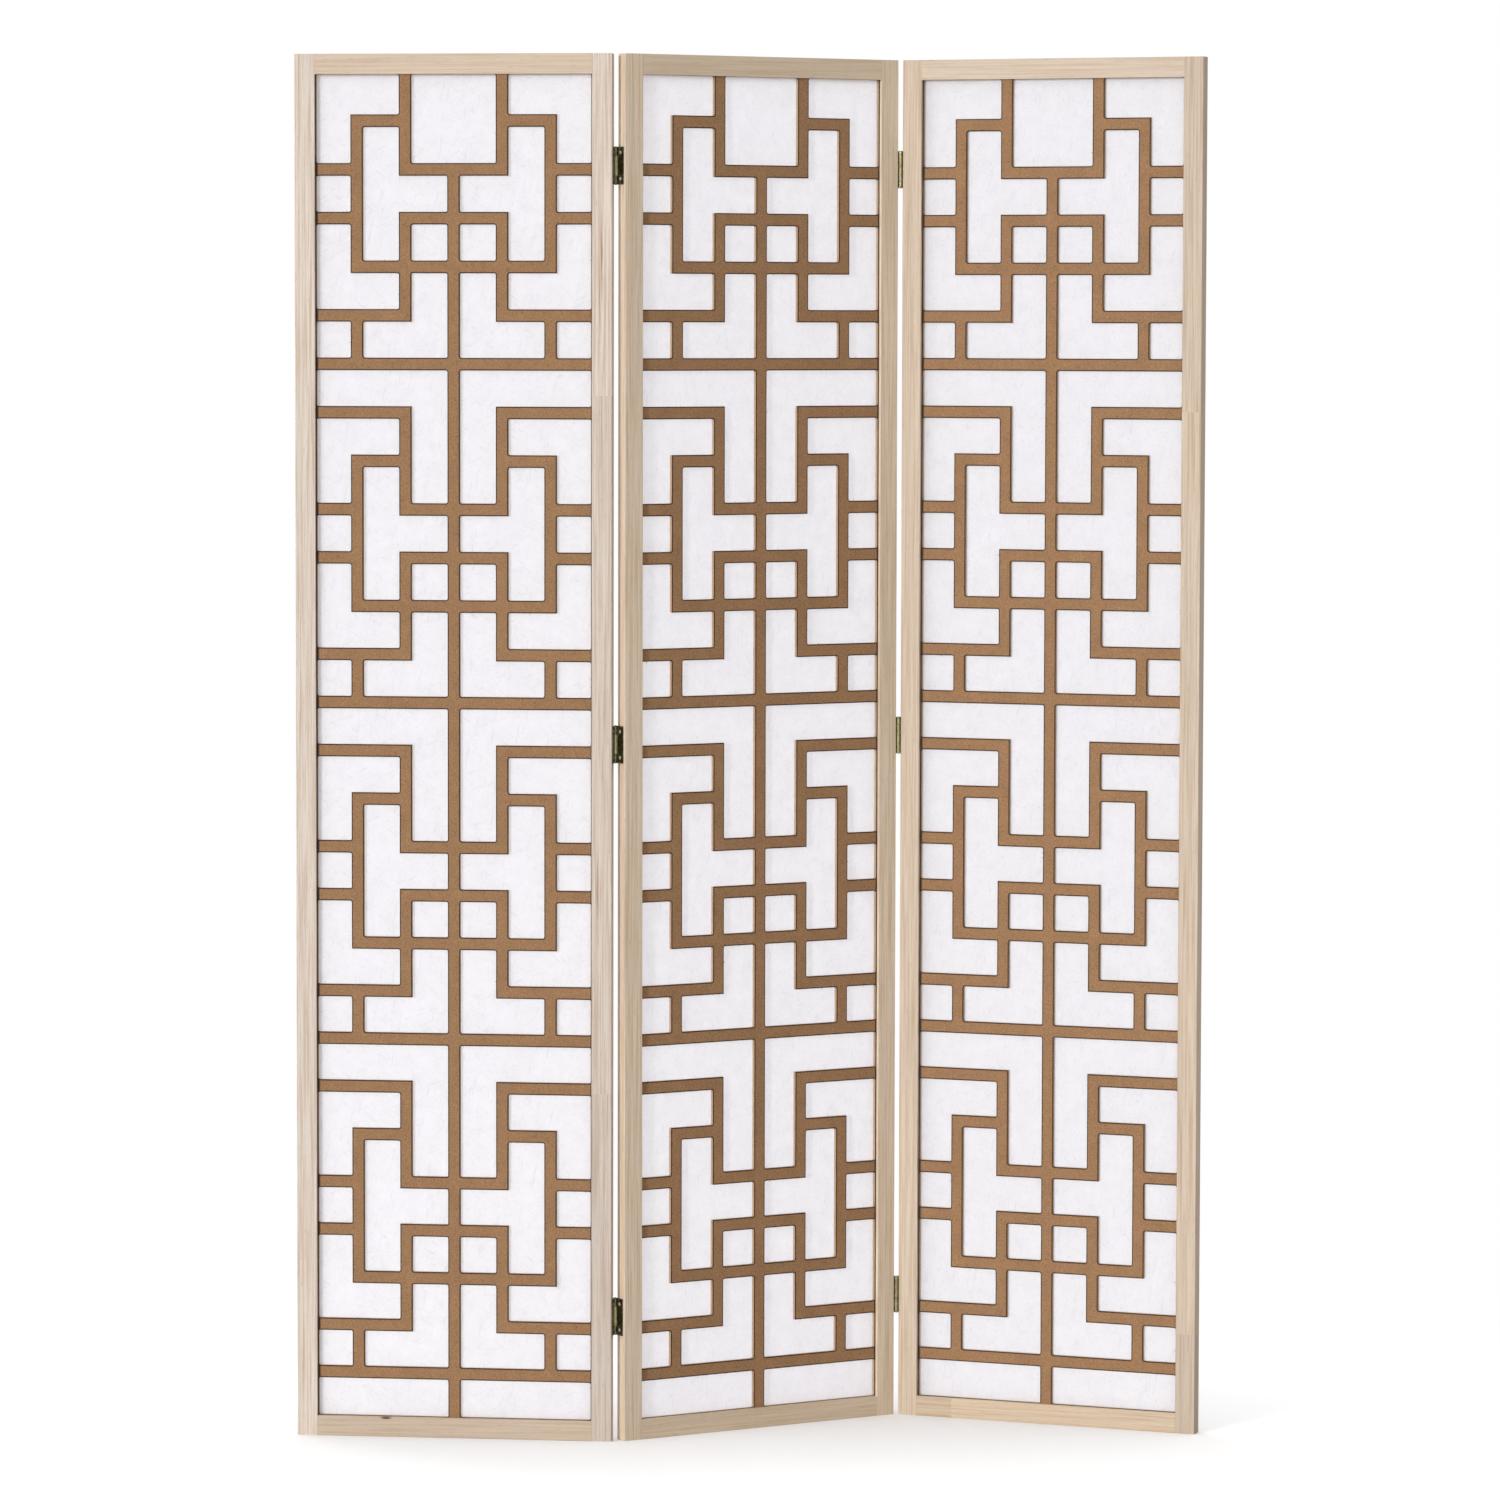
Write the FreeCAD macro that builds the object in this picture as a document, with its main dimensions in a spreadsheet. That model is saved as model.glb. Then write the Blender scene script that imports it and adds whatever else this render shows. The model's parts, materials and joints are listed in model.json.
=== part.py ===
import FreeCAD, Part
import math
import os

import Sketcher

# Three-leaf shoji folding screen, in millimetres, standing on Z = 0 with its fronts towards -Y.
# Every leaf is modelled in its own frame: X runs along the leaf from its left end, Y runs from
# its front face to its back, Z is the height over the floor. A Placement stands it in the zigzag.

os.makedirs("parts", exist_ok=True)
doc = FreeCAD.newDocument("FoldingScreen")

DRIVING_SIZES = {
    # overall
    "leaf_width": 410.0,
    "leaf_height": 1780.0,
    "leaf_thickness": 19.0,
    # frame
    "stile_width": 26.0,
    "rail_height": 26.0,
    "front_lip": 4.5,
    "groove_depth": 8.0,
    "outer_ease": 1.0,
    "inner_ease": 0.5,
    # fits inside the frame
    "panel_gap": 1.5,
    "groove_play": 0.2,
    "tenon_side_gap": 0.05,
    "tenon_end_gap": 0.5,
    # fretwork and paper
    "fret_thickness": 5.0,
    "paper_thickness": 0.4,
    "border_reveal": 1.5,
    "bar_width": 16.0,
    "edge_opening_width": 44.3,
    "bottom_strip_height": 47.5,
    "top_window_height": 111.5,
    # hinges
    "hinge_length": 48.0,
    "hinge_plate_width": 15.0,
    "hinge_plate_thickness": 1.0,
    "lowest_hinge": 160.0,
    "highest_hinge_drop": 142.0,
    "pin_radius": 0.9,
    "pin_clearance": 0.05,
    "pin_head_height": 0.6,
    "knuckle_gap": 0.3,
    "barrel_standoff": 0.25,
    "centre_knuckle": 24.0,
    # hinge screws
    "screw_pitch": 33.5,
    "screw_shank_radius": 1.3,
    "screw_head_rise": 0.25,
    "screw_length": 12.0,
    "screw_clearance": 0.05,
}
# the lattice: full cells, rows in each, rows of the part cell up to its window, and columns
# from the outermost bar on one side to that on the other
CELLS = 3
ROWS_PER_CELL = 7
ROWS_TO_WINDOW = 4
COLUMNS = 4
HINGES_PER_FOLD = 3
# turn of each leaf about Z, in degrees, as the screen stands half folded
LEAF_TURN = {"left_leaf": -5.8, "centre_leaf": 31.8, "right_leaf": -20.8}

# lengths and distances under this are taken as none
NEGLIGIBLE = 1e-4

sheet = doc.addObject("Spreadsheet::Sheet", "Sizes")
for line, (alias, number) in enumerate(DRIVING_SIZES.items(), start=1):
    sheet.set(f"A{line}", alias.replace("_", " "))
    sheet.set(f"B{line}", str(number))
    sheet.setAlias(f"B{line}", alias)
doc.recompute()


class Size:
    """A length that carries its number and the sheet expression it comes from."""

    def __init__(self, number, text):
        self.number = number
        self.text = text

    def _join(self, other, sign, result):
        right = other.text if isinstance(other, Size) else str(other)
        return Size(result, f"({self.text} {sign} {right})")

    def __add__(self, other):
        return self._join(other, "+", self.number + plain(other))

    def __sub__(self, other):
        return self._join(other, "-", self.number - plain(other))

    def __mul__(self, other):
        return self._join(other, "*", self.number * plain(other))

    def __truediv__(self, other):
        return self._join(other, "/", self.number / plain(other))


def plain(length):
    """The number of a Size, or the number itself."""
    return length.number if isinstance(length, Size) else float(length)


def size(alias):
    """The named driving dimension as a Size."""
    return Size(DRIVING_SIZES[alias], f"Sizes.{alias}")


ZERO = Size(0.0, "0")
WIDTH = size("leaf_width")
HEIGHT = size("leaf_height")
THICKNESS = size("leaf_thickness")
STILE = size("stile_width")
RAIL = size("rail_height")
LIP = size("front_lip")
GROOVE_DEPTH = size("groove_depth")
GROOVE_WIDTH = size("fret_thickness") + size("paper_thickness") + size("groove_play")
PANEL_INSERT = GROOVE_DEPTH - size("panel_gap")
HALF_BAR = size("bar_width") / 2
BORDER_LEFT = STILE + size("border_reveal")
BORDER_RIGHT = WIDTH - BORDER_LEFT
BORDER_BOTTOM = RAIL + size("border_reveal")
BORDER_TOP = HEIGHT - BORDER_BOTTOM
# the bars are spread evenly over what the named openings at the border leave free
OUTER_COLUMN = BORDER_LEFT + size("edge_opening_width") + HALF_BAR
LOWEST_ROW = BORDER_BOTTOM + size("bottom_strip_height") + HALF_BAR
WINDOW_ROW = BORDER_TOP - size("top_window_height") - HALF_BAR
COLUMN_PITCH = (WIDTH - OUTER_COLUMN * 2) / COLUMNS
ROW_PITCH = (WINDOW_ROW - LOWEST_ROW) / (CELLS * ROWS_PER_CELL + ROWS_TO_WINDOW)
HINGE_REACH = HEIGHT - size("highest_hinge_drop") - size("lowest_hinge")
KNUCKLE_BORE = size("pin_radius") + size("pin_clearance")
KNUCKLE_RADIUS = KNUCKLE_BORE + size("hinge_plate_thickness")
# the pin stands one knuckle radius off each leaf's end and clear of its face
PIN_REACH = KNUCKLE_RADIUS + size("barrel_standoff")
# a countersink stops short of the wood, so that the hole keeps a rim
COUNTERSINK_DEPTH = size("hinge_plate_thickness") * 0.9
SCREW_SINK = COUNTERSINK_DEPTH - size("screw_clearance")


# ---------------------------------------------------------------- sketches and features


def new_body(label):
    """An empty body whose label becomes its file name."""
    body = doc.addObject("PartDesign::Body", label)
    body.Label = label
    return body


def origin_part(body, role):
    """The origin plane or axis of a body with the given role."""
    return next(part for part in body.Origin.OriginFeatures if part.Role == role)


def new_sketch(body, name, role, offset=None):
    """A sketch on one of the body's own origin planes, moved along the plane's normal."""
    sketch = body.newObject("Sketcher::SketchObject", f"{body.Label}_{name}")
    sketch.AttachmentSupport = (origin_part(body, role), [""])
    sketch.MapMode = "FlatFace"
    if offset is not None:
        sketch.setExpression("AttachmentOffset.Base.z", offset.text)
    return sketch


def draw_outline(sketch, corners):
    """Draw a closed outline of level and upright lines, each held by one bound distance."""
    points = [FreeCAD.Vector(plain(x), plain(y), 0) for x, y in corners]
    following = points[1:] + points[:1]
    base = sketch.GeometryCount
    lines = [Part.LineSegment(start, end) for start, end in zip(points, following)]
    sketch.addGeometry(lines, False)

    constraints = []
    bindings = {}
    for index, (x, y) in enumerate(corners):
        line = base + index
        level = abs(following[index].y - points[index].y) < NEGLIGIBLE
        constraints.append(Sketcher.Constraint("Horizontal" if level else "Vertical", line))
        distance = y if level else x
        if abs(plain(distance)) < NEGLIGIBLE:
            constraints.append(Sketcher.Constraint("PointOnObject", line, 1, -1 if level else -2))
        else:
            bindings[len(constraints)] = distance
            kind = "DistanceY" if level else "DistanceX"
            constraints.append(Sketcher.Constraint(kind, -1, 1, line, 1, plain(distance)))
    for index in range(len(corners)):
        before = base + (index - 1) % len(corners)
        constraints.append(Sketcher.Constraint("Coincident", before, 2, base + index, 1))
    offset = sketch.ConstraintCount
    sketch.addConstraint(constraints)
    for index, distance in bindings.items():
        sketch.setExpression(f"Constraints[{offset + index}]", distance.text)


def draw_rectangle(sketch, x0, y0, x1, y1):
    """Draw a rectangle between two corners."""
    draw_outline(sketch, [(x0, y0), (x1, y0), (x1, y1), (x0, y1)])


def draw_circle(sketch, x, y, radius):
    """Draw a circle whose centre and radius are bound."""
    centre = FreeCAD.Vector(plain(x), plain(y), 0)
    circle = sketch.addGeometry(Part.Circle(centre, FreeCAD.Vector(0, 0, 1), plain(radius)))
    for kind, place in (("DistanceX", x), ("DistanceY", y)):
        if abs(plain(place)) < NEGLIGIBLE:
            axis = -2 if kind == "DistanceX" else -1
            sketch.addConstraint(Sketcher.Constraint("PointOnObject", circle, 3, axis))
        else:
            held = sketch.addConstraint(Sketcher.Constraint(kind, -1, 1, circle, 3, plain(place)))
            sketch.setExpression(f"Constraints[{held}]", place.text)
    held = sketch.addConstraint(Sketcher.Constraint("Radius", circle, plain(radius)))
    sketch.setExpression(f"Constraints[{held}]", radius.text)


def add_pad(body, name, sketch, length, reverse=False):
    """Extrude a sketch by a bound length."""
    pad = body.newObject("PartDesign::Pad", f"{body.Label}_{name}")
    pad.Profile = sketch
    pad.setExpression("Length", length.text)
    pad.Reversed = reverse
    doc.recompute()
    return pad


def add_pocket(body, name, sketch, depth=None, reverse=False):
    """Cut a sketch through everything, or to a bound depth, and check that it cuts."""
    before = body.Shape.Volume
    pocket = body.newObject("PartDesign::Pocket", f"{body.Label}_{name}")
    pocket.Profile = sketch
    pocket.Reversed = reverse
    if depth is None:
        pocket.Type = "ThroughAll"
    else:
        pocket.setExpression("Length", depth.text)
    doc.recompute()
    if body.Shape.Volume >= before - NEGLIGIBLE:
        raise RuntimeError(f"{pocket.Name} cuts nothing")
    return pocket


def add_row(body, name, features, axis, length, occurrences):
    """Repeat features along an origin axis over a bound length."""
    pattern = body.newObject("PartDesign::LinearPattern", f"{body.Label}_{name}")
    pattern.Originals = features
    pattern.Direction = (origin_part(body, axis), [""])
    pattern.setExpression("Length", length.text)
    pattern.Occurrences = occurrences
    body.Tip = pattern
    doc.recompute()
    return pattern


def add_fillet(body, name, chosen, radius):
    """Round the edges of the body's tip for which chosen(edge) is true."""
    base = body.Tip
    names = []
    for index, edge in enumerate(base.Shape.Edges, start=1):
        if chosen(edge):
            names.append(f"Edge{index}")
    if not names:
        raise RuntimeError(f"{body.Label}: no edge to round for {name}")
    fillet = body.newObject("PartDesign::Fillet", f"{body.Label}_{name}")
    fillet.Base = (base, names)
    fillet.setExpression("Radius", radius.text)
    doc.recompute()
    return fillet


def lies_at(edge, **planes):
    """Whether both ends of an edge lie on each given plane, such as x=0 or z=26."""
    for vertex in edge.Vertexes:
        point = {"x": vertex.X, "y": vertex.Y, "z": vertex.Z}
        for axis, place in planes.items():
            if abs(point[axis] - place) > NEGLIGIBLE:
                return False
    return True


# ---------------------------------------------------------------- frame


def from_end(end, distance):
    """The X that lies a distance in from the leaf's left or right end."""
    return distance if end == "left" else WIDTH - distance


def make_stile(leaf, end, hinge_side=None):
    """A full-height stile, grooved on its inner edge, with pilot holes if it carries hinges."""
    body = new_body(f"{leaf}_{end}_stile")
    outside = from_end(end, ZERO)
    inside = from_end(end, STILE)
    groove_floor = from_end(end, STILE - GROOVE_DEPTH)
    profile = new_sketch(body, "profile", "XY_Plane")
    draw_outline(profile, [
        (outside, ZERO),
        (inside, ZERO),
        (inside, LIP),
        (groove_floor, LIP),
        (groove_floor, LIP + GROOVE_WIDTH),
        (inside, LIP + GROOVE_WIDTH),
        (inside, THICKNESS),
        (outside, THICKNESS),
    ])
    add_pad(body, "pad", profile, HEIGHT)
    if hinge_side is not None:
        holes = new_sketch(body, "pilot_sketch", "YZ_Plane", outside)
        for step in (-1, 1):
            height = size("lowest_hinge") + size("screw_pitch") / 2 * step
            radius = size("screw_shank_radius") + size("screw_clearance")
            draw_circle(holes, screw_depth(hinge_side), height, radius)
        pocket = add_pocket(body, "pilot_holes", holes, size("screw_length"), end == "left")
        add_row(body, "pilot_rows", [pocket], "Z_Axis", HINGE_REACH, HINGES_PER_FOLD)

    x_out = plain(outside)
    x_in = plain(inside)
    faces = (0.0, plain(THICKNESS))
    ends = (0.0, plain(HEIGHT))
    add_fillet(body, "inner_ease", lambda edge: any(
        lies_at(edge, x=x_in, y=y) for y in faces), size("inner_ease"))
    add_fillet(body, "outer_ease", lambda edge: any(
        lies_at(edge, x=x_out, y=y) for y in faces) or any(
        lies_at(edge, x=x_out, z=z) for z in ends), size("outer_ease"))
    return body


def make_rail(leaf, place):
    """A top or bottom rail, grooved on its inner edge, with a stub tenon at each end."""
    body = new_body(f"{leaf}_{place}_rail")
    if place == "bottom":
        outer, inner = ZERO, RAIL
        groove_floor = RAIL - GROOVE_DEPTH
    else:
        outer, inner = HEIGHT, HEIGHT - RAIL
        groove_floor = HEIGHT - RAIL + GROOVE_DEPTH
    profile = new_sketch(body, "profile", "YZ_Plane", STILE)
    draw_outline(profile, [
        (ZERO, outer),
        (ZERO, inner),
        (LIP, inner),
        (LIP, groove_floor),
        (LIP + GROOVE_WIDTH, groove_floor),
        (LIP + GROOVE_WIDTH, inner),
        (THICKNESS, inner),
        (THICKNESS, outer),
    ])
    add_pad(body, "pad", profile, WIDTH - STILE * 2)
    y_faces = (0.0, plain(THICKNESS))
    add_fillet(body, "inner_ease", lambda edge: any(
        lies_at(edge, y=y, z=plain(inner)) for y in y_faces), size("inner_ease"))
    add_fillet(body, "outer_ease", lambda edge: any(
        lies_at(edge, y=y, z=plain(outer)) for y in y_faces), size("outer_ease"))

    tenon_length = GROOVE_DEPTH - size("tenon_end_gap")
    tenon = new_sketch(body, "tenon_sketch", "YZ_Plane", STILE - tenon_length)
    side_gap = size("tenon_side_gap")
    draw_rectangle(tenon, LIP + side_gap, outer, LIP + GROOVE_WIDTH - side_gap, groove_floor)
    add_pad(body, "tenons", tenon, WIDTH - STILE * 2 + tenon_length * 2)
    return body


# ---------------------------------------------------------------- fretwork and paper


def column(number, edge=0):
    """X of a bar's line, counted from the middle one, or of its edge on one side."""
    return WIDTH / 2 + COLUMN_PITCH * number + HALF_BAR * edge


def row(number, edge=0):
    """Z of a bar's line, counted up from the lowest one, or of its upper or lower edge."""
    return LOWEST_ROW + ROW_PITCH * number + HALF_BAR * edge


def border(side):
    """X of the frame-side edge of the openings on the left (-1) or right (1)."""
    return BORDER_LEFT if side < 0 else BORDER_RIGHT


def bar_edge(side, distance, towards_frame):
    """X of a bar's edge, distance columns out on one side, on its frame or middle side."""
    return column(side * distance, side if towards_frame else -side)


def upper_openings(side):
    """The two openings on one side of a cell that lie over its square window row.

    Rows count up from the cell's lowest bar: 7 is its top bar.
    """
    tall = [
        (border(side), row(7, -1)),
        (bar_edge(side, 0, True), row(7, -1)),
        (bar_edge(side, 0, True), row(4, 1)),
        (bar_edge(side, 1, False), row(4, 1)),
        (bar_edge(side, 1, False), row(6, 1)),
        (border(side), row(6, 1)),
    ]
    stepped = [
        (border(side), row(6, -1)),
        (bar_edge(side, 1, True), row(6, -1)),
        (bar_edge(side, 1, True), row(5, 1)),
        (bar_edge(side, 2, True), row(5, 1)),
        (bar_edge(side, 2, True), row(4, 1)),
        (border(side), row(4, 1)),
    ]
    return [tall, stepped]


def lower_openings(side):
    """The six openings on one side of a cell from its cross bars down to its lowest bar."""
    cross = [
        (bar_edge(side, 2, False), row(5, -1)),
        (bar_edge(side, 1, True), row(5, -1)),
        (bar_edge(side, 1, True), row(4, -1)),
        (bar_edge(side, 0, True), row(4, -1)),
        (bar_edge(side, 0, True), row(3, 1)),
        (bar_edge(side, 1, True), row(3, 1)),
        (bar_edge(side, 1, True), row(2, 1)),
        (bar_edge(side, 2, False), row(2, 1)),
    ]
    edge_square = [
        (border(side), row(4, -1)),
        (bar_edge(side, 2, True), row(4, -1)),
        (bar_edge(side, 2, True), row(3, 1)),
        (border(side), row(3, 1)),
    ]
    stepped = [
        (border(side), row(3, -1)),
        (bar_edge(side, 2, True), row(3, -1)),
        (bar_edge(side, 2, True), row(2, -1)),
        (bar_edge(side, 1, True), row(2, -1)),
        (bar_edge(side, 1, True), row(1, 1)),
        (border(side), row(1, 1)),
    ]
    middle_square = [
        (bar_edge(side, 1, False), row(3, -1)),
        (bar_edge(side, 0, True), row(3, -1)),
        (bar_edge(side, 0, True), row(2, 1)),
        (bar_edge(side, 1, False), row(2, 1)),
    ]
    hooked = [
        (bar_edge(side, 1, False), row(2, -1)),
        (bar_edge(side, 0, True), row(2, -1)),
        (bar_edge(side, 0, True), row(0, 1)),
        (bar_edge(side, 2, False), row(0, 1)),
        (bar_edge(side, 2, False), row(1, -1)),
        (bar_edge(side, 1, False), row(1, -1)),
    ]
    corner_square = [
        (border(side), row(1, -1)),
        (bar_edge(side, 2, True), row(1, -1)),
        (bar_edge(side, 2, True), row(0, 1)),
        (border(side), row(0, 1)),
    ]
    return [cross, edge_square, stepped, middle_square, hooked, corner_square]


def end_openings():
    """The openings of the part cell under the top rail and of the strip over the bottom rail."""
    window_row = CELLS * ROWS_PER_CELL + ROWS_TO_WINDOW
    window = [
        (bar_edge(-1, 1, False), BORDER_TOP),
        (bar_edge(1, 1, False), BORDER_TOP),
        (bar_edge(1, 1, False), row(window_row, 1)),
        (bar_edge(-1, 1, False), row(window_row, 1)),
    ]
    outlines = [window]
    for side in (-1, 1):
        outlines.append([
            (border(side), BORDER_TOP),
            (bar_edge(side, 1, True), BORDER_TOP),
            (bar_edge(side, 1, True), row(window_row + 1, 1)),
            (bar_edge(side, 2, True), row(window_row + 1, 1)),
            (bar_edge(side, 2, True), row(window_row, 1)),
            (border(side), row(window_row, 1)),
        ])
        outlines.append([
            (border(side), row(0, -1)),
            (bar_edge(side, 0, True), row(0, -1)),
            (bar_edge(side, 0, True), BORDER_BOTTOM),
            (border(side), BORDER_BOTTOM),
        ])
    return outlines


def make_panel(leaf, name, depth, thickness):
    """A sheet that fills the frame's grooves, its front face at the given depth."""
    body = new_body(f"{leaf}_{name}")
    outline = new_sketch(body, "outline", "XZ_Plane", ZERO - depth)
    draw_rectangle(
        outline,
        STILE - PANEL_INSERT,
        RAIL - PANEL_INSERT,
        WIDTH - STILE + PANEL_INSERT,
        HEIGHT - RAIL + PANEL_INSERT,
    )
    add_pad(body, "sheet", outline, thickness, reverse=True)
    return body


def make_fretwork(leaf):
    """The routed sheet: three full cells, a part cell over them and a strip under them."""
    body = make_panel(leaf, "fretwork", LIP, size("fret_thickness"))
    cell = ROW_PITCH * ROWS_PER_CELL
    upper = []
    lower = []
    for side, word in ((-1, "left"), (1, "right")):
        sketch = new_sketch(body, f"{word}_upper_sketch", "XZ_Plane", ZERO - LIP)
        for outline in upper_openings(side):
            draw_outline(sketch, outline)
        upper.append(add_pocket(body, f"{word}_upper_openings", sketch))
        sketch = new_sketch(body, f"{word}_lower_sketch", "XZ_Plane", ZERO - LIP)
        for outline in lower_openings(side):
            draw_outline(sketch, outline)
        lower.append(add_pocket(body, f"{word}_lower_openings", sketch))
    sketch = new_sketch(body, "end_sketch", "XZ_Plane", ZERO - LIP)
    for outline in end_openings():
        draw_outline(sketch, outline)
    add_pocket(body, "end_openings", sketch)
    add_row(body, "upper_cells", upper, "Z_Axis", cell * (CELLS - 1), CELLS)
    add_row(body, "lower_cells", lower, "Z_Axis", cell * CELLS, CELLS + 1)
    return body


# ---------------------------------------------------------------- hinges


def hinge_height(number):
    """Z of the middle of a fold's hinge, counted up from the lowest one."""
    return size("lowest_hinge") + HINGE_REACH / (HINGES_PER_FOLD - 1) * number


def screw_depth(hinge_side):
    """Y of a hinge's screws in a leaf, for a hinge whose pin stands at its front or back."""
    middle = size("hinge_plate_width") / 2
    return middle if hinge_side == "front" else THICKNESS - middle


def make_hinge_plate(label, knuckles):
    """A rolled plate of a hinge, in its own frame.

    It lies on the wood at X = 0, its blade runs to -Y and its knuckles stand at +Y, and
    Z = 0 is the middle of its height. knuckles lists the (bottom, top) of each knuckle.
    """
    body = new_body(label)
    thickness = size("hinge_plate_thickness")
    length = size("hinge_length")
    blade = new_sketch(body, "blade_sketch", "XY_Plane", ZERO - length / 2)
    draw_rectangle(blade, ZERO, ZERO - size("hinge_plate_width"), thickness, ZERO)
    add_pad(body, "blade", blade, length)
    far_edge = -plain(size("hinge_plate_width"))
    add_fillet(body, "corners", lambda edge: lies_at(edge, y=far_edge)
               and abs(edge.Length - plain(thickness)) < NEGLIGIBLE, thickness)
    for index, (bottom, top) in enumerate(knuckles, start=1):
        neck = new_sketch(body, f"neck_{index}_sketch", "XY_Plane", bottom)
        draw_rectangle(neck, ZERO, ZERO - thickness, thickness, PIN_REACH)
        add_pad(body, f"neck_{index}", neck, top - bottom)
        roll = new_sketch(body, f"roll_{index}_sketch", "XY_Plane", bottom)
        draw_circle(roll, KNUCKLE_RADIUS, PIN_REACH, KNUCKLE_RADIUS)
        add_pad(body, f"roll_{index}", roll, top - bottom)
    bore = new_sketch(body, "bore_sketch", "XY_Plane", length / 2)
    draw_circle(bore, KNUCKLE_RADIUS, PIN_REACH, KNUCKLE_BORE)
    add_pocket(body, "bore", bore)

    holes = new_sketch(body, "screw_sketch", "YZ_Plane", thickness)
    middle = ZERO - size("hinge_plate_width") / 2
    shank = size("screw_shank_radius") + size("screw_clearance")
    for step in (-1, 1):
        draw_circle(holes, middle, size("screw_pitch") / 2 * step, shank)
    add_pocket(body, "screw_holes", holes)
    drilled = body.Tip
    rims = []
    for index, edge in enumerate(drilled.Shape.Edges, start=1):
        is_round = isinstance(edge.Curve, Part.Circle)
        if is_round and lies_at(edge, x=plain(thickness)):
            if abs(edge.Curve.Radius - plain(shank)) < NEGLIGIBLE:
                rims.append(f"Edge{index}")
    sink = body.newObject("PartDesign::Chamfer", f"{label}_countersinks")
    sink.Base = (drilled, rims)
    sink.setExpression("Size", COUNTERSINK_DEPTH.text)
    doc.recompute()
    return body


def centre_knuckles():
    """Heights of the one knuckle in the middle."""
    half = (size("centre_knuckle") - size("knuckle_gap")) / 2
    return [(ZERO - half, half)]


def end_knuckles():
    """Heights of the two knuckles at the ends."""
    inner = (size("centre_knuckle") + size("knuckle_gap")) / 2
    outer = size("hinge_length") / 2
    return [(ZERO - outer, ZERO - inner), (inner, outer)]


def make_cylinder(name, radius, height, placement):
    """A bound cylinder along its own Z."""
    cylinder = doc.addObject("Part::Cylinder", name)
    cylinder.setExpression("Radius", radius.text)
    cylinder.setExpression("Height", height.text)
    cylinder.Placement = placement
    return cylinder


def make_cone(name, bottom_radius, top_radius, height, placement):
    """A bound cone frustum along its own Z."""
    cone = doc.addObject("Part::Cone", name)
    cone.setExpression("Radius1", bottom_radius.text)
    cone.setExpression("Radius2", top_radius.text)
    cone.setExpression("Height", height.text)
    cone.Placement = placement
    return cone


def shift(x, y, z):
    """A placement that only moves."""
    return FreeCAD.Placement(FreeCAD.Vector(plain(x), plain(y), plain(z)), FreeCAD.Rotation())


def turn(axis, degrees):
    """A placement that only turns about an axis through the origin."""
    return FreeCAD.Placement(FreeCAD.Vector(), FreeCAD.Rotation(FreeCAD.Vector(*axis), degrees))


def make_pin(label):
    """A hinge pin with a flattened head on each end, in the frame of its hinge plates."""
    half = size("hinge_length") / 2
    head = size("pin_head_height")
    # the head covers the bore and stays inside the knuckle's wall
    wide = KNUCKLE_BORE + size("hinge_plate_thickness") * 0.55
    narrow = KNUCKLE_BORE + size("hinge_plate_thickness") * 0.15
    axis = shift(KNUCKLE_RADIUS, PIN_REACH, 0)
    shaft = make_cylinder(f"{label}_shaft", size("pin_radius"), half * 2,
                          axis.multiply(shift(0, 0, ZERO - half)))
    upper = make_cone(f"{label}_upper_head", wide, narrow, head, axis.multiply(shift(0, 0, half)))
    lower = make_cone(f"{label}_lower_head", narrow, wide, head,
                      axis.multiply(shift(0, 0, ZERO - half - head)))
    pin = doc.addObject("Part::MultiFuse", label)
    pin.Label = label
    pin.Shapes = [shaft, upper, lower]
    return pin


def make_screw(name, placement):
    """A countersunk wood screw along its own -Z, its head's rim level with the plate at Z = 0."""
    rise = size("screw_head_rise")
    shank = size("screw_shank_radius")
    head = shank + SCREW_SINK
    tip = shank * 2
    shaft = size("screw_length") - SCREW_SINK - tip
    shaft_end = placement.multiply(shift(0, 0, ZERO - SCREW_SINK - shaft))
    parts = [
        make_cone(f"{name}_crown", head, head - rise * 2, rise, placement),
        make_cone(f"{name}_head", shank, head, SCREW_SINK,
                  placement.multiply(shift(0, 0, ZERO - SCREW_SINK))),
        make_cylinder(f"{name}_shaft", shank, shaft, shaft_end),
        make_cone(f"{name}_tip", shank / 4, shank, tip,
                  shaft_end.multiply(shift(0, 0, ZERO - tip))),
    ]
    screw = doc.addObject("Part::MultiFuse", name)
    screw.Shapes = parts
    return screw


def plate_frame(end, hinge_side, height):
    """Where a hinge plate's own frame stands on a leaf."""
    rotation = {
        ("right", "back"): turn((0, 0, 1), 0),
        ("left", "back"): turn((0, 1, 0), 180),
        ("right", "front"): turn((1, 0, 0), 180),
        ("left", "front"): turn((0, 0, 1), 180),
    }[end, hinge_side]
    x = from_end(end, ZERO)
    y = ZERO if hinge_side == "front" else THICKNESS
    return shift(x, y, height).multiply(rotation)


def make_screws(leaf, end, hinge_side):
    """All hinge screws on one edge of a leaf, as one group of separate solids."""
    screws = []
    for hinge in range(HINGES_PER_FOLD):
        height = hinge_height(hinge)
        for step in (-1, 1):
            place = plate_frame(end, hinge_side, height)
            seat = shift(
                size("hinge_plate_thickness"),
                ZERO - size("hinge_plate_width") / 2,
                size("screw_pitch") / 2 * step,
            )
            aim = place.multiply(seat).multiply(turn((0, 1, 0), 90))
            screws.append(make_screw(f"{leaf}_{end}_screw_{len(screws) + 1}", aim))
    group = doc.addObject("Part::Compound", f"{leaf}_{end}_hinge_screws")
    group.Label = group.Name
    group.Links = screws
    return group


# ---------------------------------------------------------------- standing zigzag


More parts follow.
